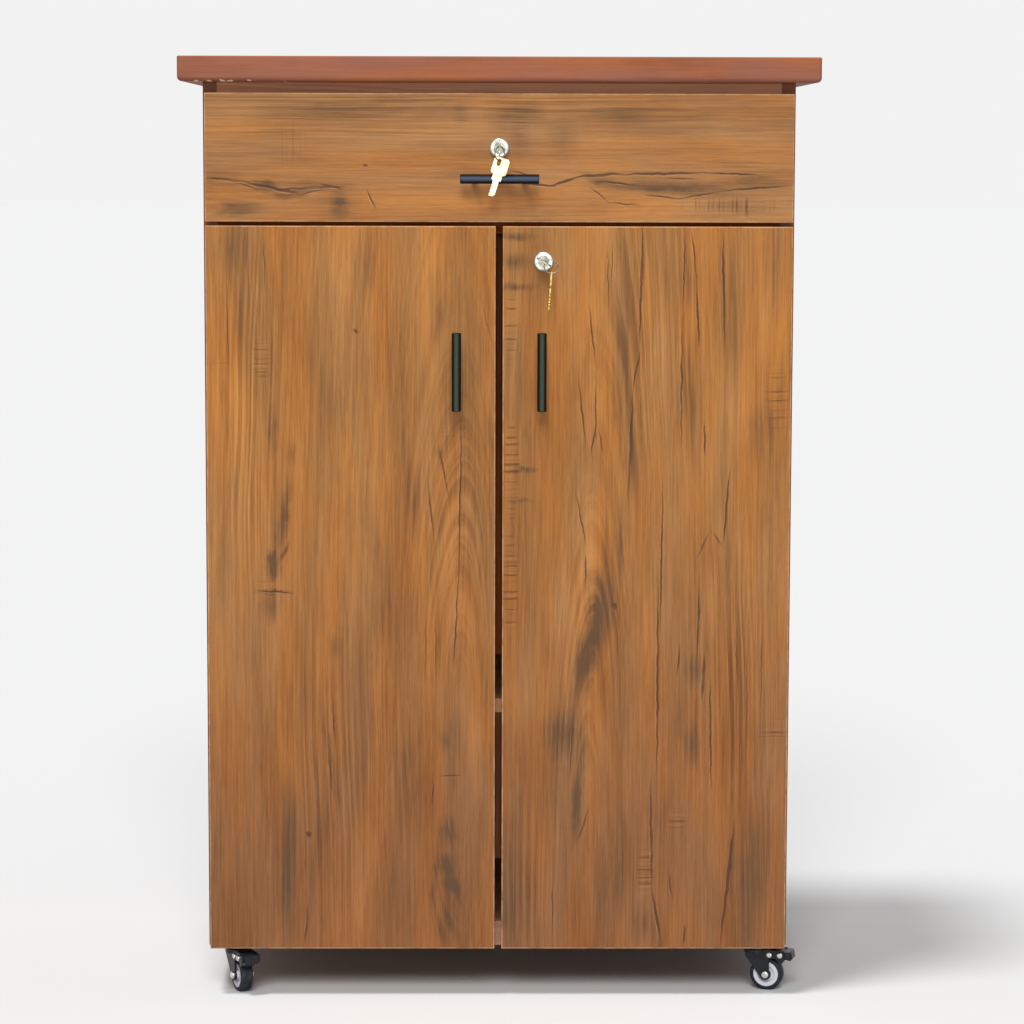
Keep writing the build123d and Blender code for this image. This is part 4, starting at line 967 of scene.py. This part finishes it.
@dataclass
class Doors:
    """The pair of doors with upright grain."""

    # Both doors darken from 0.9 m down to the floor: painted shade.
    left: WoodFinish = WoodFinish(
        "left_door_laminate", outline_of="left_door_panel", edge_share=0.5, low_from=0.9,
        pith_across=-0.052, pith_depth=0.03, pith_slope=0.14, pith_along=0.55, ring_strength=0.3,
        stains=LEFT_STAINS, cracks=LEFT_CRACKS, checks=LEFT_CHECKS, glows=LEFT_GLOWS,
        figure=LEFT_FIGURE, figure_away=0.3)
    right: WoodFinish = WoodFinish(
        "right_door_laminate", outline_of="right_door_panel", edge_share=0.5, low_from=0.9,
        pith_across=0.118, pith_depth=0.03, pith_slope=0.1, pith_along=0.45, ring_strength=0.3,
        stains=RIGHT_STAINS, cracks=RIGHT_CRACKS, checks=RIGHT_CHECKS, glows=RIGHT_GLOWS,
        figure=RIGHT_FIGURE, figure_away=0.3, offset=(0.0, 0.7, 0.0))

    def dress(self) -> None:
        """Finish both doors."""
        dress(self.left, "left_door_panel")
        dress(self.right, "right_door_panel")


@dataclass
class Handles:
    """The three bar handles, in matt black paint with a painted highlight along their fronts."""

    # Each bar's last colour is a painted highlight along its front: blue-grey on the drawer bar, grey-green
    # on the door bars.
    drawer: MouldedFinish = MouldedFinish(
        "drawer_handle_paint_and_highlight", srgb(10, 11, 13), srgb(16, 17, 20), srgb(44, 46, 50),
        roughness=0.5, pebble=0.25, dust_share=0.1, gloss=0.12, painted_highlight=srgb(74, 86, 108))
    door: MouldedFinish = replace(drawer, name="door_handle_paint_and_highlight", painted_highlight=srgb(66, 74, 60))

    def dress(self) -> None:
        """Finish the handles."""
        dress(self.drawer, "drawer_handle")
        dress(self.door, "left_door_handle", "right_door_handle")


@dataclass
class Locks:
    """The two cam locks with their keys and rings."""

    chrome: MetalFinish = MetalFinish("lock_chrome", srgb(196, 198, 190), srgb(150, 152, 142), 0.4)
    plug: MetalFinish = MetalFinish("plug_nickel", srgb(160, 160, 148), srgb(110, 108, 92), 0.42)
    ring: MetalFinish = MetalFinish("ring_wire", srgb(150, 148, 132), srgb(100, 96, 78), 0.36)
    key: MetalFinish = MetalFinish("key_steel", srgb(210, 206, 192), srgb(188, 178, 140), 0.42)
    brass: MetalFinish = MetalFinish("door_spare_key_metal", srgb(200, 172, 96), srgb(150, 122, 66), 0.42)

    def dress(self) -> None:
        """Finish locks, keys and rings."""
        dress(self.chrome, "drawer_lock_housing", "door_lock_housing")
        dress(self.plug, "drawer_lock_plug", "door_lock_plug", "drawer_key", "door_key")
        dress(self.ring, "drawer_key_ring", "door_key_ring")
        dress(self.key, "drawer_spare_key")
        dress(self.brass, "door_spare_key")


@dataclass
class Casters:
    """The four swivel casters, the front pair with brake pedals."""

    fork: MouldedFinish = MouldedFinish(
        "caster_fork_plastic", srgb(15, 18, 24), srgb(26, 31, 40), srgb(52, 58, 66),
        roughness=0.4, dust_share=0.12, gloss=0.3)
    tyre: MouldedFinish = MouldedFinish(
        "caster_tyre_rubber", srgb(26, 30, 37), srgb(46, 50, 58), srgb(112, 113, 108),
        roughness=0.6, dust_share=0.2, gloss=0.25)
    rim: MouldedFinish = MouldedFinish(
        "caster_rim_plastic", srgb(222, 221, 230), srgb(236, 235, 242), srgb(176, 174, 176), roughness=0.4)
    pedal: MouldedFinish = MouldedFinish(
        "brake_pedal_plastic", srgb(17, 20, 26), srgb(30, 35, 44), srgb(56, 62, 70),
        roughness=0.36, dust_share=0.12, gloss=0.3)
    rivets: MetalFinish = MetalFinish("caster_rivet_steel", srgb(214, 214, 212), srgb(170, 170, 168), 0.25)

    def dress(self) -> None:
        """Finish every caster."""
        kinds = {"fork": self.fork, "tyre": self.tyre, "rim": self.rim, "axle": self.rivets}
        for piece, finish in kinds.items():
            dress(finish, *(f"caster_{piece}_{corner.value}" for corner in Corner))
        dress(self.pedal, "brake_pedal_front_left", "brake_pedal_front_right")


@dataclass
class Studio:
    """The floor, the light and the camera. Lengths are in metres, angles in degrees."""

    camera_place: Triple = (-0.0254, -4.3913, 1.0979)
    pitch: float = 6.4542
    yaw: float = 0.5793
    roll: float = 0.1445
    focal_length: float = 115.466
    shift_up: float = 0.01058
    front_aim: Triple = (0.03, 0.78, -0.625)
    front_strength: float = 1.62
    front_spread: float = 24.0
    key_aim: Triple = (0.245, 0.17, -0.955)
    key_strength: float = 1.65
    key_spread: float = 12.0
    fill_aim: Triple = (0.006, 0.999, -0.035)
    fill_strength: float = 0.5
    fill_spread: float = 1.5
    sky_colour: Colour = (0.98, 0.99, 1.0)
    sky_strength: float = 0.24
    page: Colour = srgb(242, 242, 242)
    floor_tone: float = 0.84
    floor_glow: float = 0.35
    floor_half: float = 60.0

    def camera(self) -> None:
        """Put the camera at the photograph's viewpoint."""
        pitch, yaw, roll = (math.radians(angle) for angle in (self.pitch, self.yaw, self.roll))
        ahead = Vector((math.sin(yaw) * math.cos(pitch), math.cos(yaw) * math.cos(pitch), -math.sin(pitch)))
        level = Vector((math.cos(yaw), -math.sin(yaw), 0.0))
        upright = level.cross(ahead)
        right = math.cos(roll) * level + math.sin(roll) * upright
        up = math.cos(roll) * upright - math.sin(roll) * level
        lens = bpy.data.cameras.new("view")
        lens.lens = self.focal_length
        lens.shift_y = self.shift_up
        camera = bpy.data.objects.new("view", lens)
        bpy.context.scene.collection.objects.link(camera)
        turn = Matrix((right, up, -ahead)).transposed().to_4x4()
        camera.matrix_world = Matrix.Translation(self.camera_place) @ turn
        bpy.context.scene.camera = camera

    def floor(self) -> None:
        """Lay the pale floor, which also carries the shadow."""
        half = self.floor_half
        mesh = bpy.data.meshes.new("studio_floor")
        corners = [(-half, -half, 0), (half, -half, 0), (half, half, 0), (-half, half, 0)]
        mesh.from_pydata(corners, [], [(0, 1, 2, 3)])
        floor = bpy.data.objects.new("studio_floor", mesh)
        bpy.context.scene.collection.objects.link(floor)
        sheet = ShaderSheet.for_finish("studio_floor")
        seen = self.seen_directly(sheet)
        tone = seen.maths("MULTIPLY_ADD", self.floor_tone - self.floor_glow, self.floor_glow)
        colour = sheet.place("ShaderNodeCombineColor", {}, {0: tone, 1: tone, 2: tone})
        material = sheet.finish({"Base Color": colour, "Roughness": 1.0, "Specular IOR Level": 0.0})
        mesh.materials.append(material)

    @staticmethod
    def seen_directly(sheet: ShaderSheet) -> Signal:
        """One for rays from the camera, straight or by way of metal or glass, and zero for the rest."""
        paths = sheet.build("ShaderNodeLightPath", {}, {})
        names = ("Is Camera Ray", "Is Glossy Ray", "Is Transmission Ray")
        camera, glossy, through = (Signal(sheet, paths.outputs[name]) for name in names)
        return camera.maths("MAXIMUM", glossy).maths("MAXIMUM", through)

    def sun(self, name: str, aim: Triple, strength: float, spread: float) -> None:
        """Hang one distant lamp.

        Args:
            name: The lamp's name.
            aim: The direction that it shines in.
            strength: Its strength.
            spread: How wide it looks, in degrees.
        """
        lamp = bpy.data.lights.new(name, "SUN")
        lamp.energy = strength
        lamp.angle = math.radians(spread)
        holder = bpy.data.objects.new(name, lamp)
        bpy.context.scene.collection.objects.link(holder)
        holder.rotation_euler = Vector(aim).to_track_quat("-Z", "Y").to_euler()

    def light(self) -> None:
        """Hang the high key that throws the floor shadow, the front lamp, the fill, and the sky."""
        self.sun("key_lamp", self.key_aim, self.key_strength, self.key_spread)
        self.sun("front_lamp", self.front_aim, self.front_strength, self.front_spread)
        self.sun("fill_lamp", self.fill_aim, self.fill_strength, self.fill_spread)
        world = bpy.data.worlds.new("studio")
        bpy.context.scene.world = world
        sheet = ShaderSheet(world)
        glow = {"Color": self.sky_colour, "Strength": self.sky_strength}
        sky = sheet.build("ShaderNodeBackground", {}, glow)
        page = sheet.build("ShaderNodeBackground", {}, {"Color": self.page})
        mix = sheet.build("ShaderNodeMixShader", {}, {0: self.seen_directly(sheet)})
        out = sheet.build("ShaderNodeOutputWorld", {}, {})
        sheet.tree.links.new(sky.outputs[0], mix.inputs[1])
        sheet.tree.links.new(page.outputs[0], mix.inputs[2])
        sheet.tree.links.new(mix.outputs[0], out.inputs["Surface"])

    def build(self) -> None:
        """Set up the whole studio."""
        self.camera()
        self.floor()
        self.light()
        bpy.context.scene.view_settings.view_transform = "Standard"


def main() -> None:
    """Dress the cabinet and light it."""
    logging.basicConfig(level=logging.INFO, format="%(message)s")
    Studio().build()
    for assembly in (Case(), Drawer(), Doors(), Handles(), Locks(), Casters()):
        assembly.dress()
    bpy.context.view_layer.update()


if __name__ == "__main__":
    main()
